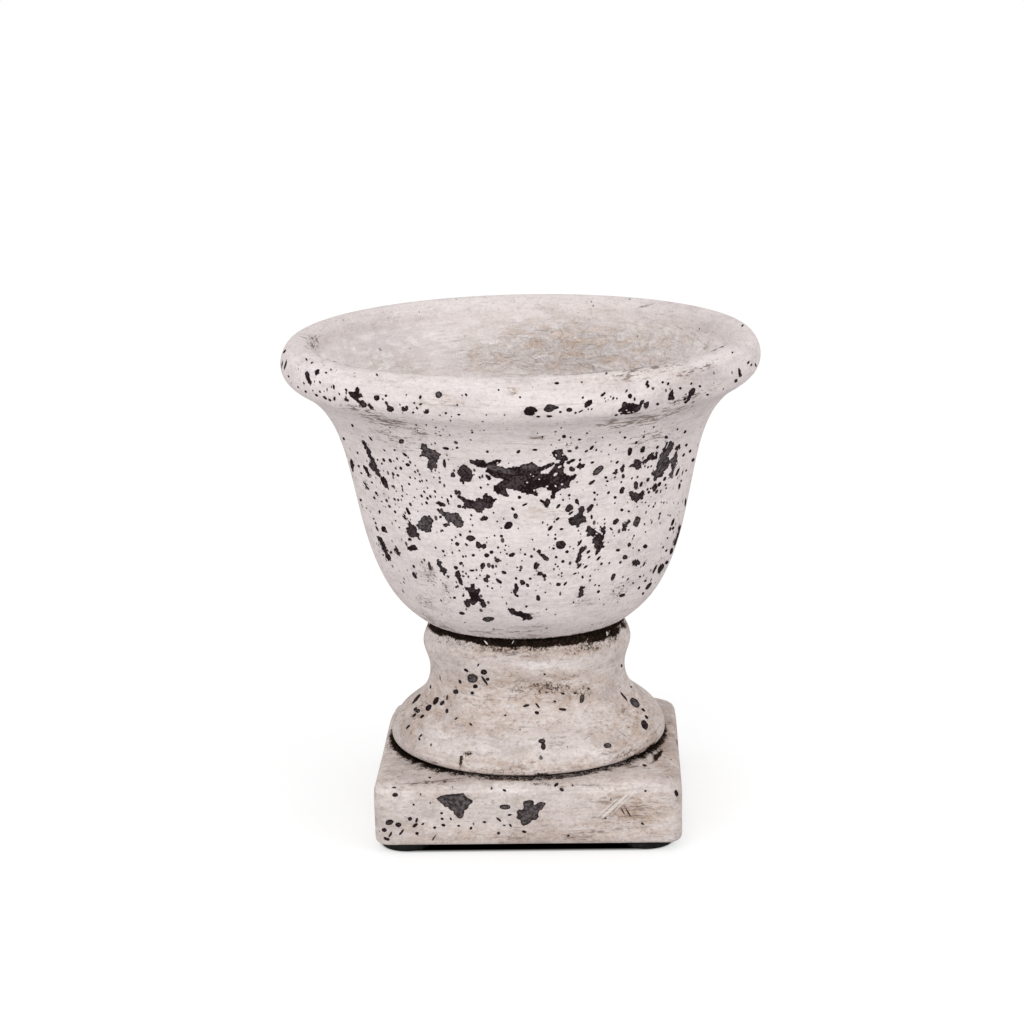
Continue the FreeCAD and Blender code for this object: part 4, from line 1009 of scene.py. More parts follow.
def markPiece(piece, outer, chips, greyRows, tears, greyTears, pins, marks, lines, raggedness, extra):
    # outer: which points are on the side that the chips belong to
    places = placesOf(piece)
    pixels = onPicture(places)
    facing = facingOf(piece, places)
    shown = facing > edges["shown"]
    large = [row for row in chips + greyRows if row[3] >= edges["finest"]]
    longer, wider = edges["dotGrowth"]
    small = [(x, y, halfLong + longer, halfShort + wider, tilt)
             for x, y, halfLong, halfShort, tilt in chips + greyRows if halfShort < edges["finest"]]
    field, ragged = chipField(pixels, shown & outer, large, tears + greyTears)
    keepField(piece, "chips", field)
    keepField(piece, "ragged", ragged * raggedness)
    keepField(piece, "greyChips", chipField(pixels, shown & outer, greyRows, greyTears)[0])
    small += [pinRow(left + x / size, top + y / size, radius / size)
              for (left, top, size), rows in pins for x, y, radius in rows]
    # the third number is the half width in pixels, below zero for islands
    spots = [row + (row[3],) for row in small] + [row + (-row[3],) for row in islands]
    keepSpots(piece, "dots", pixels, shown & outer, spots)
    keepSpots(piece, "lines", pixels, shown, lines)
    for name, rows in marks.items():
        field = softField(pixels, shown, rows)
        if name in extra:
            field = np.maximum(field, extra[name])
        keepField(piece, name, field)
    keepField(piece, "hidden", 1 - smooth(facing, *edges["hidden"]))
    print(piece.name, "marked,", len(piece.data.polygons), "faces")


def darkeningBy(value, band):
    start, full, strength = band
    return smooth(value, start, full) * strength


def widened(value, left, right):
    plain, leftMore, rightMore = value
    return plain + leftMore * left + rightMore * right


def markAll():
    piece = painted["bowl"]
    rows = rowsOf(piece)
    up = placesOf(piece)[:, 2] - bowl["base"]
    outer = rows <= bowl["crestRow"]
    first, last = bowl["insideRows"]
    inner = (rows > bowl["crestRow"] + first) & (rows <= bowl["floorRow"] + last)
    keepField(piece, "inner", inner.astype(float))
    underside = darkeningBy(up, bowl["dirtUnder"]) * (rows < bowl["underRows"])
    raggedness = 1 - bowl["calm"] * smooth(up, *bowl["calmHeights"])
    markPiece(piece, outer, rimChips + neckChips + leftChips + rightChips, greyChips, bowlTears, bowlGreyTears,
              pinheads, bowlMarks, bowlLines, raggedness, {"grimeAndShade": underside})

    piece = painted["foot"]
    up = placesOf(piece)[:, 2] - foot["base"]
    outer = rowsOf(piece) <= foot["topRow"]
    keepField(piece, "inner", (~outer).astype(float))
    band = np.maximum(darkeningBy(up, foot["dirtTop"]), darkeningBy(up, foot["dirtUnder"]))
    markPiece(piece, outer, footChips, footGreyChips, [], [], [], footMarks, footLines, foot["raggedness"],
              {"grimeAndShade": band})

    piece = painted["plinth"]
    places = placesOf(piece)
    rows = rowsOf(piece)
    radius = np.hypot(places[:, 0], places[:, 1])
    outer = rows <= plinth["sideRows"]
    keepField(piece, "inner", np.zeros(len(rows)))
    top = (places[:, 2] > plinth["top"] - plinth["topDepth"]) & outer
    across = onPicture(places)[:, 0]
    left, right = smooth(across, *plinth["ringLeft"]), smooth(across, *plinth["ringRight"])
    outside, inside, strength = [widened(plinth[name], left, right) for name in (
        "ringOutside", "ringInside", "ringStrength")]
    # painted shade: the hole and underside are made near black, so the gap under the plinth stays dark
    band = smooth(radius, outside, inside) * top * strength + (~outer) * plinth["dirtUnder"]
    markPiece(piece, outer, plinthChips, plinthGreyChips, [], plinthTears, [], plinthMarks, plinthLines,
              plinth["raggedness"], {"grimeAndShade": band})


markAll()

def newNode(tree, kind, inputs=None, **settings):
    node = tree.nodes.new(kind)
    for name, value in settings.items():
        setattr(node, name, value)
    for name, value in (inputs or {}).items():
        socket = node.inputs[name]
        if isinstance(value, bpy.types.NodeSocket):
            tree.links.new(value, socket)
        else:
            socket.default_value = value
    return node


def sums(tree, operation, first, second=0.0, third=0.0):
    return newNode(tree, "ShaderNodeMath", {0: first, 1: second, 2: third}, operation=operation).outputs[0]


def clamped(tree, value):
    return newNode(tree, "ShaderNodeClamp", {0: value}).outputs[0]


def fade(tree, value, low, high, start=0.0, end=1.0):
    # a soft step from start to end as the value goes from low to high
    node = newNode(tree, "ShaderNodeMapRange", {0: value, 1: low, 2: high, 3: start, 4: end},
                   interpolation_type="SMOOTHSTEP")
    return node.outputs[0]


def layer(tree, share, under, over, kind="MIX"):
    # one colour laid over another
    node = newNode(tree, "ShaderNodeMix", {0: share, 6: under, 7: over}, data_type="RGBA", blend_type=kind)
    return node.outputs[2]


def between(tree, share, low, high):
    return newNode(tree, "ShaderNodeMix", {0: share, 2: low, 3: high}, data_type="FLOAT").outputs[0]


def blend(tree, first, firstShare, second, secondShare):
    return sums(tree, "MULTIPLY_ADD", first, firstShare, sums(tree, "MULTIPLY", second, secondShare))


def stretched(tree, place, flat, turn=(0, 0, 0)):
    # above one, flat squeezes what follows along the axis
    node = newNode(tree, "ShaderNodeMapping", {"Vector": place, "Scale": (1.0, 1.0, flat), "Rotation": turn})
    return node.outputs[0]


def grainOf(tree, place, scale, detail=2.0, roughness=0.5, distortion=0.0, flat=1.0):
    # noise round zero that mostly stays between -2 and 2
    if flat != 1.0:
        place = stretched(tree, place, flat)
    node = newNode(tree, "ShaderNodeTexNoise", {
        "Vector": place, "Scale": scale, "Detail": detail, "Roughness": roughness, "Distortion": distortion})
    return sums(tree, "MULTIPLY_ADD", node.outputs[0], 18.0, -9.0)


def cellsOf(tree, place, scale):
    # distance to the nearest of many strewn points, in cells, and two chance numbers of that point
    cells = newNode(tree, "ShaderNodeTexVoronoi", {"Vector": place, "Scale": scale}, feature="F1").outputs
    chance = newNode(tree, "ShaderNodeSeparateColor", {0: cells["Color"]}).outputs
    return cells["Distance"], chance[0], chance[1]


def picked(tree, share, chance):
    # 1 for that share of the strewn points
    return fade(tree, sums(tree, "SUBTRACT", share, chance), -0.01, 0.01)


def lengthOf(tree, vector):
    # of a mark's own along and across, and its third number
    split = newNode(tree, "ShaderNodeSeparateXYZ", {0: vector}).outputs
    square = sums(tree, "MULTIPLY_ADD", split[0], split[0], sums(tree, "MULTIPLY", split[1], split[1]))
    return sums(tree, "SQRT", square), split[2]


def newGroup(name, inputs, outputs):
    tree = bpy.data.node_groups.new(name, "ShaderNodeTree")
    for side, sockets in (("INPUT", inputs), ("OUTPUT", outputs)):
        for label, kind in sockets.items():
            tree.interface.new_socket(label, in_out=side, socket_type="NodeSocket" + kind)
    entry = tree.nodes.new("NodeGroupInput").outputs
    leave = tree.nodes.new("NodeGroupOutput").inputs
    return tree, entry, leave


# in the looks, noises are named settings of grainOf, and number pairs or fours are the ends of a fade
chipLook = {
    "bubbles": 700.0, "bubbleDepth": -5.7, "bubbleLevel": 3.0, "bubbleShare": 0.8,
    "crumbs": {"scale": 1500.0}, "crumbShare": 0.25, "dotEdge": 0.1,
    "patches": {"scale": 42.0}, "patchShare": 0.7,
    "blots": {"scale": 170.0, "detail": 3.0, "roughness": 0.6, "flat": 1.25},
    "levelFall": -1.1, "levelTop": 3.1, "slope": 3.5, "looseEdge": 0.4,
    "drops": (150.0, 260.0), "dropSpread": 0.22, "dropLeast": 0.04, "dropDepth": 2500.0, "crowded": (-1.5, 1.5),
    "chip": (-0.25, 0.2), "outline": (1.5, 0.5), "grey": (-1.0, 1.0),
    "specks": ((560.0, 0.2), (330.0, 0.17)), "speckFlat": 0.66, "speckLeast": 0.09, "speck": (-0.03, 0.04),
    "speckCrowded": (-1.5, 1.5, 0.4, 1.0),
}


def makeChipping():
    # where the paint has come off: a chip's mask, its dark outline, how grey its floor is, and pin-head specks
    look, none = chipLook, edges["far"]
    tree, entry, leave = newGroup("chipping", {
        "Place": "Vector", "Chips": "Float", "Ragged": "Float", "Dots": "Vector", "Grey chips": "Float",
        "Hidden": "Float", "Hidden amount": "Float", "Speckle": "Float", "Inner": "Float"},
        {"Chip": "Float", "Outline": "Float", "Grey": "Float", "Speck": "Float"})
    place, amount = entry["Place"], entry["Hidden amount"]
    away = cellsOf(tree, place, look["bubbles"])[0]
    bubbles = sums(tree, "MULTIPLY_ADD", away, look["bubbleDepth"], look["bubbleLevel"])
    edge = blend(tree, bubbles, look["bubbleShare"], grainOf(tree, place, **look["crumbs"]), look["crumbShare"])
    chips = sums(tree, "MULTIPLY_ADD", edge, entry["Ragged"], entry["Chips"])
    away, size = lengthOf(tree, entry["Dots"])
    dots = sums(tree, "MULTIPLY", sums(tree, "SUBTRACT", 1.0, away), size)
    dots = sums(tree, "MULTIPLY_ADD", edge, look["dotEdge"], dots)
    island = sums(tree, "LESS_THAN", size, 0.0)
    chips = between(tree, island, sums(tree, "MAXIMUM", chips, dots), sums(tree, "MINIMUM", chips, dots))

    # on the sides that the photograph doesn't show, the chips come from noise of the same size
    patches = grainOf(tree, place, **look["patches"])
    crowd = blend(tree, grainOf(tree, place, **look["blots"]), 1.0, patches, look["patchShare"])
    level = sums(tree, "MULTIPLY_ADD", amount, look["levelFall"], look["levelTop"])
    loose = sums(tree, "MULTIPLY", sums(tree, "SUBTRACT", crowd, level), look["slope"])
    for scale in look["drops"]:
        away, first, second = cellsOf(tree, place, scale)
        reach = sums(tree, "MULTIPLY_ADD", second, look["dropSpread"], look["dropLeast"])
        share = sums(tree, "MULTIPLY", amount, fade(tree, patches, *look["crowded"]))
        chosen = picked(tree, share, first)
        drop = sums(tree, "MULTIPLY", sums(tree, "SUBTRACT", reach, away), look["dropDepth"] / scale)
        loose = sums(tree, "MAXIMUM", loose, between(tree, chosen, none, drop))
    loose = sums(tree, "MULTIPLY_ADD", edge, look["looseEdge"], loose)
    loose = between(tree, entry["Inner"], loose, none)
    field = between(tree, entry["Hidden"], chips, loose)
    chip = fade(tree, field, *look["chip"])
    tree.links.new(chip, leave["Chip"])
    tree.links.new(sums(tree, "MULTIPLY", chip, fade(tree, field, *look["outline"])), leave["Outline"])
    tree.links.new(fade(tree, entry["Grey chips"], *look["grey"]), leave["Grey"])

    # specks stand thickest where the paint is most chipped
    total = None
    for scale, size in look["specks"]:
        away, first, second = cellsOf(tree, stretched(tree, place, look["speckFlat"]), scale)
        near = sums(tree, "MULTIPLY_ADD", second, size, look["speckLeast"])
        dot = fade(tree, sums(tree, "SUBTRACT", near, away), *look["speck"])
        share = sums(tree, "MULTIPLY", entry["Speckle"], fade(tree, patches, *look["speckCrowded"]))
        dot = sums(tree, "MULTIPLY", dot, picked(tree, share, first))
        total = dot if total is None else sums(tree, "MAXIMUM", total, dot)
    tree.links.new(total, leave["Speck"])
    return tree


washLook = {
    "clouds": {"scale": 60.0, "detail": 5.0, "roughness": 0.7, "flat": 2.0},
    "fine": {"scale": 900.0, "detail": 4.0, "roughness": 0.65},
    "strokes": {"scale": 110.0, "detail": 5.0, "roughness": 0.62, "distortion": 0.35, "flat": 7.0},
    "hairs": {"scale": 330.0, "detail": 4.0, "roughness": 0.7, "distortion": 0.25, "flat": 5.0},
    "motes": {"scale": 130.0, "detail": 6.0, "roughness": 0.75, "distortion": 0.3, "flat": 2.2},
    "grit": {"scale": 500.0, "detail": 4.0, "roughness": 0.8, "flat": 1.5},
    "greyAndShadeShare": 0.8, "cloudy": (-0.8, 2.4),
    "lined": (0.0, 2.0), "lineShare": 0.35, "lineLeast": 0.08,
    "warmed": (-1.8, 1.8, 0.12, 0.8), "tan": (0.46, 0.355, 0.292, 1),
    "rubbed": (1.5, -1.5, 0.4, 1.0), "paleShare": 0.7, "white": (0.86, 0.81, 0.8, 1),
    "gritty": (0.3, 2.6), "warmGrit": 0.5, "mottleGrit": 0.4,
    "strokeShare": 0.5, "ridgeFall": -2.3, "ridgeTop": 1.4, "hatched": (0.0, 1.3), "smudged": (0.0, 0.6, 0.2, 0.8),
    "fineShare": 0.7, "hairShare": 0.5, "unevenRise": 0.04, "unevenLeast": 0.014,
}


def makeBrushwork():
    # thin lime paint: mottled, dragged round by the brush, dirty in the low places; painted shade greys it and painted
    # highlights pale it
    look = washLook
    tree, entry, leave = newGroup("brushwork", {
        "Place": "Vector", "Paint": "Color", "Grey paint": "Color", "Warmth": "Float", "Mottle": "Float",
        "Wash": "Float", "Smudge": "Float", "Grey and shade": "Float", "Pale": "Float", "Brown": "Color", "Fine": "Float",
        "Tan": "Color"}, {"Color": "Color", "Strokes": "Float", "Grain": "Float"})
    place, mottle, smudge = entry["Place"], entry["Mottle"], entry["Smudge"]
    clouds, fine, strokes, hairs, motes, grit = [
        grainOf(tree, place, **look[name]) for name in ("clouds", "fine", "strokes", "hairs", "motes", "grit")]
    # painted shade and cloudy mottling make the paint greyer
    greyer = blend(tree, entry["Grey and shade"], look["greyAndShadeShare"], fade(tree, clouds, *look["cloudy"]), mottle)
    color = layer(tree, clamped(tree, greyer), entry["Paint"], entry["Grey paint"])
    lines = fade(tree, strokes, *look["lined"])
    lines = sums(tree, "MULTIPLY", lines, sums(tree, "MULTIPLY_ADD", mottle, look["lineShare"], look["lineLeast"]))
    color = layer(tree, lines, color, entry["Grey paint"])
    warm = sums(tree, "ADD", entry["Wash"], entry["Warmth"])
    warm = sums(tree, "MULTIPLY", warm, fade(tree, motes, *look["warmed"]))
    color = layer(tree, clamped(tree, warm), color, entry["Tan"])
    # paler paint and painted highlights, broken by the strokes
    pale = sums(tree, "MULTIPLY", entry["Pale"], fade(tree, strokes, *look["rubbed"]))
    color = layer(tree, sums(tree, "MULTIPLY", pale, look["paleShare"]), color, look["white"])
    gritty = fade(tree, grit, *look["gritty"])
    gritty = sums(tree, "MULTIPLY", gritty, blend(tree, warm, look["warmGrit"], mottle, look["mottleGrit"]))
    color = layer(tree, clamped(tree, gritty), color, entry["Brown"])
    # hatching: brown caught in the ridges of the strokes
    ridge = blend(tree, hairs, entry["Fine"], strokes, look["strokeShare"])
    needed = sums(tree, "MULTIPLY_ADD", smudge, look["ridgeFall"], look["ridgeTop"])
    hatch = fade(tree, sums(tree, "SUBTRACT", ridge, needed), *look["hatched"])
    hatch = sums(tree, "MULTIPLY", hatch, fade(tree, smudge, *look["smudged"]))
    color = layer(tree, hatch, color, entry["Brown"])
    # the whole is unevenly thin
    uneven = blend(tree, fine, look["fineShare"], hairs, look["hairShare"])
    amount = sums(tree, "MULTIPLY_ADD", mottle, look["unevenRise"], look["unevenLeast"])
    value = sums(tree, "MULTIPLY_ADD", uneven, amount, 1.0)
    shadeOf = newNode(tree, "ShaderNodeCombineColor", {0: value, 1: value, 2: value}).outputs[0]
    color = layer(tree, 1.0, color, shadeOf, "MULTIPLY")
    tree.links.new(color, leave["Color"])
    tree.links.new(ridge, leave["Strokes"])
    tree.links.new(fine, leave["Grain"])
    return tree


dirtAndShadeLook = {
    "grit": {"scale": 1400.0, "detail": 4.0, "roughness": 0.75}, "gritShare": 0.13,
    "lumps": {"scale": 420.0, "detail": 4.0, "roughness": 0.65}, "lumpShare": 0.08,
    "loose": (0.6, 1.0, 1.0, 0.45), "there": (0.02, 0.25),
    "halo": (0.2, 0.75), "haloShare": 0.8, "haloColor": (0.14, 0.082, 0.052, 1),
    "black": (0.5, 0.78), "blackShare": 0.97,
    "tarGrit": 0.8, "tarLumps": 0.6, "tar": (0.2, 2.4),
    "tarDark": (0.003, 0.0015, 0.001, 1), "tarPale": (0.035, 0.019, 0.012, 1),
    "wornShare": 0.7, "worn": (-1.2, 0.6, 0.55, 1.0),
    "line": (1.15, 0.35), "lineColor": (0.035, 0.022, 0.018, 1),
    "crumb": (1.2, 0.75), "crumbColor": (0.8, 0.75, 0.72, 1),
}


def makeDirtAndShade():
    # granular near-black dirt, which also paints the shade under the plinth and the bowl's shadow on the collar, and
    # fine dark or pale lines drawn over it
    look = dirtAndShadeLook
    tree, entry, leave = newGroup(
        "dirt", {"Place": "Vector", "Color": "Color", "Grime and shade": "Float", "Lines": "Vector"},
        {"Color": "Color", "Crumb": "Float"})
    place, grimeAndShade = entry["Place"], entry["Grime and shade"]
    grit, lumps = grainOf(tree, place, **look["grit"]), grainOf(tree, place, **look["lumps"])
    loose = fade(tree, grimeAndShade, *look["loose"])
    level = blend(tree, grit, look["gritShare"], lumps, look["lumpShare"])
    level = sums(tree, "MULTIPLY_ADD", level, loose, grimeAndShade)
    there = fade(tree, grimeAndShade, *look["there"])
    halo = sums(tree, "MULTIPLY", fade(tree, level, *look["halo"]), there)
    black = sums(tree, "MULTIPLY", fade(tree, level, *look["black"]), there)
    color = layer(tree, sums(tree, "MULTIPLY", halo, look["haloShare"]), entry["Color"], look["haloColor"])
    tar = fade(tree, blend(tree, grit, look["tarGrit"], lumps, look["tarLumps"]), *look["tar"])
    tar = layer(tree, tar, look["tarDark"], look["tarPale"])
    color = layer(tree, sums(tree, "MULTIPLY", black, look["blackShare"]), color, tar)
    away, strength = lengthOf(tree, entry["Lines"])
    worn = fade(tree, blend(tree, grit, look["wornShare"], lumps, look["wornShare"]), *look["worn"])
    line = sums(tree, "MULTIPLY", fade(tree, away, *look["line"]), worn)
    color = layer(tree, clamped(tree, sums(tree, "MULTIPLY", line, strength)), color, look["lineColor"])
    crumb = fade(tree, away, *look["crumb"])
    crumb = clamped(tree, sums(tree, "MULTIPLY", crumb, sums(tree, "MULTIPLY", strength, -1.0)))
    color = layer(tree, crumb, color, look["crumbColor"])
    tree.links.new(color, leave["Color"])
    tree.links.new(crumb, leave["Crumb"])
    return tree


groups = {"chipping": makeChipping(), "brushwork": makeBrushwork(), "dirt": makeDirtAndShade()}

finishes = {
    "bowl": {"paint": (0.755, 0.69, 0.68, 1), "grey": (0.54, 0.485, 0.488, 1), "warmth": 0.1, "mottle": 0.4,
             "speckle": 0.05, "hidden": 0.6, "brown": (0.165, 0.11, 0.085, 1), "fine": 0.75},
    "foot": {"paint": (0.68, 0.612, 0.588, 1), "grey": (0.48, 0.422, 0.407, 1), "warmth": 0.22, "mottle": 0.7,
             "speckle": 0.03, "hidden": 0.15, "brown": (0.165, 0.12, 0.098, 1), "fine": 0.5},
    "plinth": {"paint": (0.695, 0.625, 0.6, 1), "grey": (0.48, 0.42, 0.405, 1), "warmth": 0.3, "mottle": 0.7,
               "speckle": 0.03, "hidden": 0.2, "brown": (0.2, 0.148, 0.122, 1), "fine": 0.4},
}
# the inside was only roughly trowelled; painted highlights pale its ridges and painted shade tans its dents
insideLook = {
    "trowel": {"scale": 150.0, "detail": 4.0, "roughness": 0.6, "distortion": 0.3}, "flat": 1.9,
    "turn": (0.3, 0.2, 0), "rubbed": (0.0, 1.5), "washShare": 0.2, "paintedRidgeHighlight": (0.2, -1.6, 0.45, 1.4), "paleShare": 0.8,
    "mottle": 0.12, "speckle": 0.02, "brown": (0.3, 0.215, 0.172, 1), "tan": (0.68, 0.525, 0.425, 1),
}
# the chips' floors: bare clay, greyed by a dry brush in places
clayLook = {
    "grains": {"scale": 1200.0, "detail": 3.0, "roughness": 0.7}, "grainShare": 0.9,
    "lumps": {"scale": 160.0, "detail": 3.0, "roughness": 0.6}, "lumpShare": 0.6,
    "clay": (-0.6, 1.8), "dark": (0.015, 0.009, 0.010, 1), "pale": (0.068, 0.049, 0.052, 1),
    "drag": {"scale": 650.0, "detail": 4.0, "roughness": 0.7, "flat": 1.4}, "brushed": (-1.4, 1.4),
    "brushedDark": (0.034, 0.028, 0.029, 1), "brushedPale": (0.114, 0.095, 0.097, 1),
    "veil": {"scale": 70.0, "detail": 3.0}, "veiled": (0.4, 2.0), "veilShare": 0.35,
    "outlineShare": 0.8, "speckShare": 0.92, "speck": (0.035, 0.023, 0.023, 1),
}
# heights in shares of the depth, which is in millimetres
reliefLook = {
    "strokes": 0.022, "grain": 0.014, "chip": -0.5, "crumb": 0.8, "rough": 0.95, "inner": 0.1,
    "depth": 0.6, "strength": 0.9, "paintRoughness": 0.9, "clayRoughness": 0.75,
}


def newMaterial(name):
    material = bpy.data.materials.new(name)
    material.use_nodes = True
    tree = material.node_tree
    return material, tree, tree.nodes["Principled BSDF"]


def raised(tree, shader, height, depth, strength):
    bump = newNode(tree, "ShaderNodeBump", {"Height": height, "Distance": depth * mm, "Strength": strength})
    tree.links.new(bump.outputs[0], shader.inputs["Normal"])


def paintMaterial(name):
    finish, inside = finishes[name], insideLook
    material, tree, shader = newMaterial(name + "_limewash")
    place = newNode(tree, "ShaderNodeTexCoord").outputs["Object"]

    def field(label, output="Fac"):
        return newNode(tree, "ShaderNodeAttribute", attribute_name=label).outputs[output]

    def group(label, inputs):
        return newNode(tree, "ShaderNodeGroup", inputs, node_tree=groups[label]).outputs

    inner = field("inner")
    trowel = grainOf(tree, stretched(tree, place, inside["flat"], inside["turn"]), **inside["trowel"])
    rough = sums(tree, "MULTIPLY", inner, field("wash"))
    # painted shade: the trowel's dents take more tan wash
    rubbed = sums(tree, "MULTIPLY", rough, fade(tree, trowel, *inside["rubbed"]))
    mottle = between(tree, inner, finish["mottle"], inside["mottle"])
    wash = sums(tree, "MULTIPLY_ADD", rubbed, inside["washShare"], field("wash"))
    smudge, greyAndShade = field("smudge"), field("greyAndShade")
    brown = layer(tree, inner, finish["brown"], inside["brown"])
    tan = layer(tree, inner, washLook["tan"], inside["tan"])
    # painted highlight: the trowel's ridges turn paler
    paintedRidgeHighlight = sums(tree, "MULTIPLY", inner, fade(tree, trowel, *inside["paintedRidgeHighlight"]))
    pale = sums(tree, "MULTIPLY_ADD", paintedRidgeHighlight, inside["paleShare"], field("pale"))
    brush = group("brushwork", {
        "Place": place, "Paint": finish["paint"], "Grey paint": finish["grey"], "Warmth": finish["warmth"],
        "Mottle": mottle, "Wash": wash, "Smudge": smudge, "Grey and shade": greyAndShade, "Brown": brown, "Fine": finish["fine"],
        "Tan": tan, "Pale": pale})
    speckle = sums(tree, "ADD", field("speckle"), finish["speckle"])
    chipping = group("chipping", {
        "Place": place, "Chips": field("chips"), "Ragged": field("ragged"), "Dots": field("dots", "Vector"),
        "Grey chips": field("greyChips"), "Hidden": field("hidden"), "Hidden amount": finish["hidden"],
        "Inner": inner, "Speckle": between(tree, inner, speckle, inside["speckle"])})

    look = clayLook
    grains, lumps = grainOf(tree, place, **look["grains"]), grainOf(tree, place, **look["lumps"])
    grains = fade(tree, blend(tree, grains, look["grainShare"], lumps, look["lumpShare"]), *look["clay"])
    clay = layer(tree, grains, look["dark"], look["pale"])
    drag = fade(tree, grainOf(tree, place, **look["drag"]), *look["brushed"])
    brushed = layer(tree, drag, look["brushedDark"], look["brushedPale"])
    veil = fade(tree, grainOf(tree, place, **look["veil"]), *look["veiled"])
    veil = sums(tree, "MAXIMUM", sums(tree, "MULTIPLY", veil, look["veilShare"]), chipping["Grey"])
    floor = layer(tree, veil, clay, brushed)
    floor = layer(tree, sums(tree, "MULTIPLY", chipping["Outline"], look["outlineShare"]), floor, look["dark"])
    color = layer(tree, chipping["Chip"], brush["Color"], floor)
    color = layer(tree, sums(tree, "MULTIPLY", chipping["Speck"], look["speckShare"]), color, look["speck"])
    dirt = group("dirt", {"Place": place, "Color": color, "Grime and shade": field("grimeAndShade"), "Lines": field("lines", "Vector")})
    tree.links.new(dirt["Color"], shader.inputs["Base Color"])

    # the paint stands above the clay
    look = reliefLook
    height = blend(tree, brush["Strokes"], look["strokes"], brush["Grain"], look["grain"])
    height = sums(tree, "MULTIPLY_ADD", chipping["Chip"], look["chip"], height)
    height = sums(tree, "MULTIPLY_ADD", dirt["Crumb"], look["crumb"], height)
    dents = sums(tree, "MULTIPLY", trowel, blend(tree, rough, look["rough"], inner, look["inner"]))
    height = sums(tree, "MULTIPLY_ADD", dents, -1.0, height)
    raised(tree, shader, height, look["depth"], look["strength"])
    roughness = between(tree, chipping["Chip"], look["paintRoughness"], look["clayRoughness"])
    tree.links.new(roughness, shader.inputs["Roughness"])
    shader.inputs["Specular IOR Level"].default_value = 0.0
    return material


mortarLook = {
    "grit": {"scale": 900.0, "detail": 5.0, "roughness": 0.7}, "gritty": (-1.0, 3.0),
    "dark": (0.009, 0.006, 0.004, 1), "pale": (0.06, 0.04, 0.028, 1),
    "depth": 0.05, "strength": 0.9, "roughness": 0.92,
}


def mortarMaterial():
    look = mortarLook
    material, tree, shader = newMaterial("dark_mortar")
    place = newNode(tree, "ShaderNodeTexCoord").outputs["Object"]
    grit = grainOf(tree, place, **look["grit"])
    color = layer(tree, fade(tree, grit, *look["gritty"]), look["dark"], look["pale"])
    tree.links.new(color, shader.inputs["Base Color"])
    raised(tree, shader, grit, look["depth"], look["strength"])
    shader.inputs["Roughness"].default_value = look["roughness"]
    shader.inputs["Specular IOR Level"].default_value = 0.0
    return material


rubberLook = {
    "dust": {"scale": 400.0, "detail": 4.0, "roughness": 0.6}, "dusty": (0.8, 3.0),
    "dark": (0.003, 0.003, 0.003, 1), "pale": (0.014, 0.013, 0.013, 1),
    "roughness": (-3.0, 3.0, 0.38, 0.62), "specular": 0.12,
    "pores": {"scale": 2500.0}, "depth": 0.004, "strength": 0.5,
}


def rubberMaterial():
    look = rubberLook
    material, tree, shader = newMaterial("black_rubber")
    place = newNode(tree, "ShaderNodeTexCoord").outputs["Object"]
    dust = grainOf(tree, place, **look["dust"])
    color = layer(tree, fade(tree, dust, *look["dusty"]), look["dark"], look["pale"])
    tree.links.new(color, shader.inputs["Base Color"])
    tree.links.new(fade(tree, dust, *look["roughness"]), shader.inputs["Roughness"])
    shader.inputs["Specular IOR Level"].default_value = look["specular"]
    raised(tree, shader, grainOf(tree, place, **look["pores"]), look["depth"], look["strength"])
    return material


for name, piece in painted.items():
    piece.data.materials.append(paintMaterial(name))
mortar, rubber = mortarMaterial(), rubberMaterial()
for piece in beds:
    piece.data.materials.append(mortar)
for piece in pads:
    piece.data.materials.append(rubber)
print("materials made")


studio = {
    "floorHalf": 2.5, "floorColor": (0.6, 0.6, 0.6, 1), "floorGlow": 0.57, "floorShare": 0.5,
    # millimetres: a painted shadow makes the floor dark under the plinth, from its sides less the inset
    "paintedShadowInset": 14, "paintedShadowDark": 9.5, "paintedShadowLight": 13,
    "worldLevel": 0.85, "aim": (0, 0, 0.1),
    "softbox": {"place": (-0.7, -1.55, 0.5), "size": 1.4, "power": 12},
    "fill": {"place": (1.3, -0.9, 0.6), "size": 1.2, "power": 6.5},
}


def seenOf(tree):
    # 1 where the camera sees something itself, by a reflection or through something clear
    rays = newNode(tree, "ShaderNodeLightPath").outputs
    bright = sums(tree, "MAXIMUM", rays["Is Camera Ray"], rays["Is Glossy Ray"])
    return sums(tree, "MAXIMUM", bright, rays["Is Transmission Ray"])


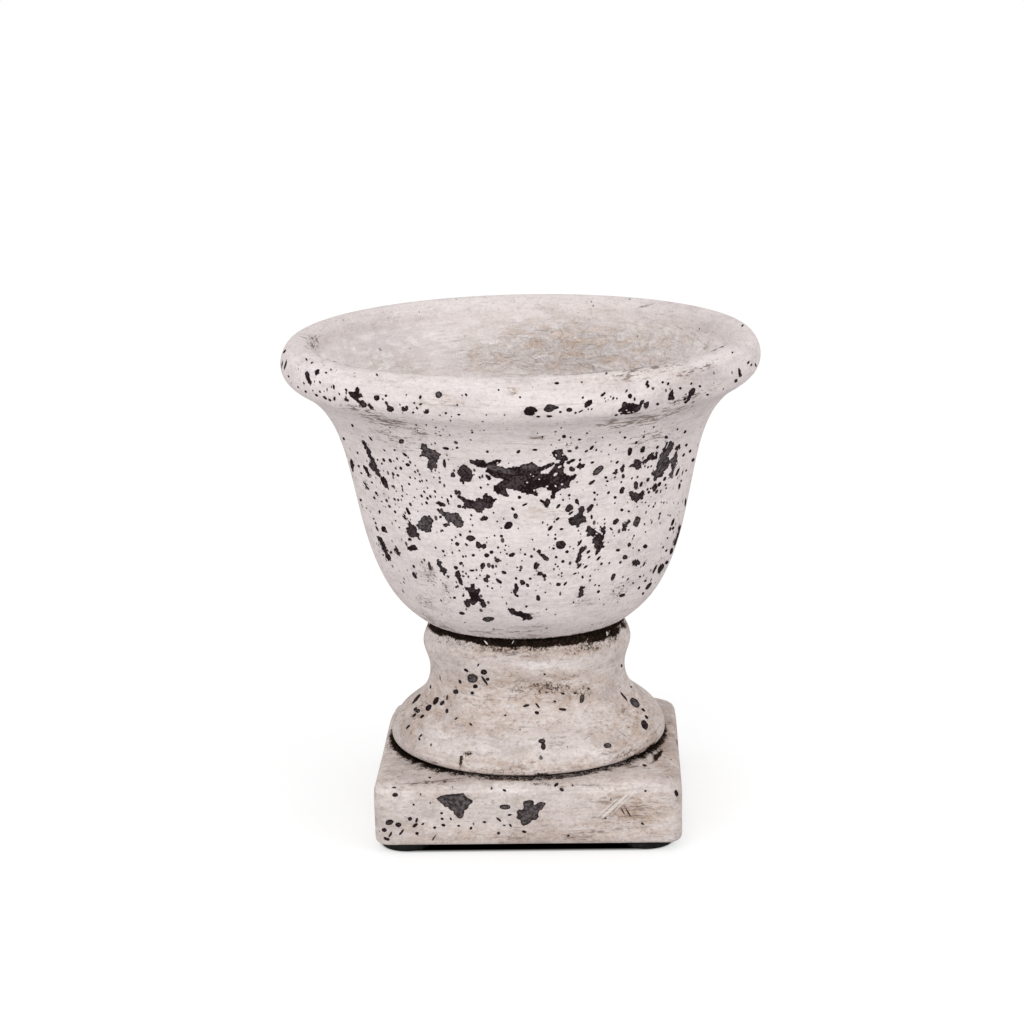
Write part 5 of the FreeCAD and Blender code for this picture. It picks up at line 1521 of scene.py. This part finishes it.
def makeFloor():
    ground = bmesh.new()
    bmesh.ops.create_grid(ground, x_segments=8, y_segments=8, size=studio["floorHalf"])
    mesh = bpy.data.meshes.new("floor")
    ground.to_mesh(mesh)
    ground.free()
    floor = bpy.data.objects.new("floor", mesh)
    bpy.context.scene.collection.objects.link(floor)
    material, tree, shader = newMaterial("studio_floor")
    tree.nodes.remove(shader)
    leave = tree.nodes["Material Output"].inputs["Surface"]
    # the camera sees white with the object's shadow and a painted shadow under the plinth; the object sees a plain pale
    # floor
    place = newNode(tree, "ShaderNodeTexCoord").outputs["Object"]
    split = newNode(tree, "ShaderNodeSeparateXYZ", {0: place}).outputs
    half = (plinth["half"] - studio["paintedShadowInset"]) * mm
    sides = [sums(tree, "SUBTRACT", sums(tree, "ABSOLUTE", split[axis]), half) for axis in (0, 1)]
    sides = [sums(tree, "MAXIMUM", side, 0.0) for side in sides]
    squares = [sums(tree, "POWER", side, 2.0) for side in sides]
    reach = sums(tree, "SQRT", sums(tree, "ADD", *squares))
    # painted shadow: 0 under the plinth, 1 away from it
    outsidePaintedShadow = fade(tree, reach, studio["paintedShadowDark"] * mm, studio["paintedShadowLight"] * mm)
    greyAndShade = layer(tree, outsidePaintedShadow, (0, 0, 0, 1), (studio["floorShare"],) * 3 + (1,))
    shaded = newNode(tree, "ShaderNodeBsdfDiffuse", {"Color": greyAndShade})
    strength = sums(tree, "MULTIPLY", outsidePaintedShadow, studio["floorGlow"])
    glow = newNode(tree, "ShaderNodeEmission", {"Color": (1, 1, 1, 1), "Strength": strength})
    seen = newNode(tree, "ShaderNodeAddShader", {0: shaded.outputs[0], 1: glow.outputs[0]})
    plain = newNode(tree, "ShaderNodeBsdfDiffuse", {"Color": studio["floorColor"]})
    mix = newNode(tree, "ShaderNodeMixShader", {0: seenOf(tree), 1: plain.outputs[0], 2: seen.outputs[0]})
    tree.links.new(mix.outputs[0], leave)
    mesh.materials.append(material)


def makeWorld():
    world = bpy.data.worlds.new("studio")
    bpy.context.scene.world = world
    world.use_nodes = True
    tree = world.node_tree
    background = tree.nodes["Background"]
    background.inputs["Color"].default_value = (1, 1, 1, 1)
    level = between(tree, seenOf(tree), studio["worldLevel"], 1.0)
    tree.links.new(level, background.inputs["Strength"])


def makeLamp(name):
    lamp = studio[name]
    data = bpy.data.lights.new(name, "AREA")
    data.shape = "DISK"
    data.size = lamp["size"]
    data.energy = lamp["power"]
    light = bpy.data.objects.new(name, data)
    bpy.context.scene.collection.objects.link(light)
    light.location = lamp["place"]
    aim = Vector(studio["aim"]) - light.location
    light.rotation_euler = aim.to_track_quat("-Z", "Y").to_euler()


makeFloor()
makeWorld()
makeLamp("softbox")
makeLamp("fill")
bpy.context.scene.view_settings.view_transform = "Standard"
print("studio ready")
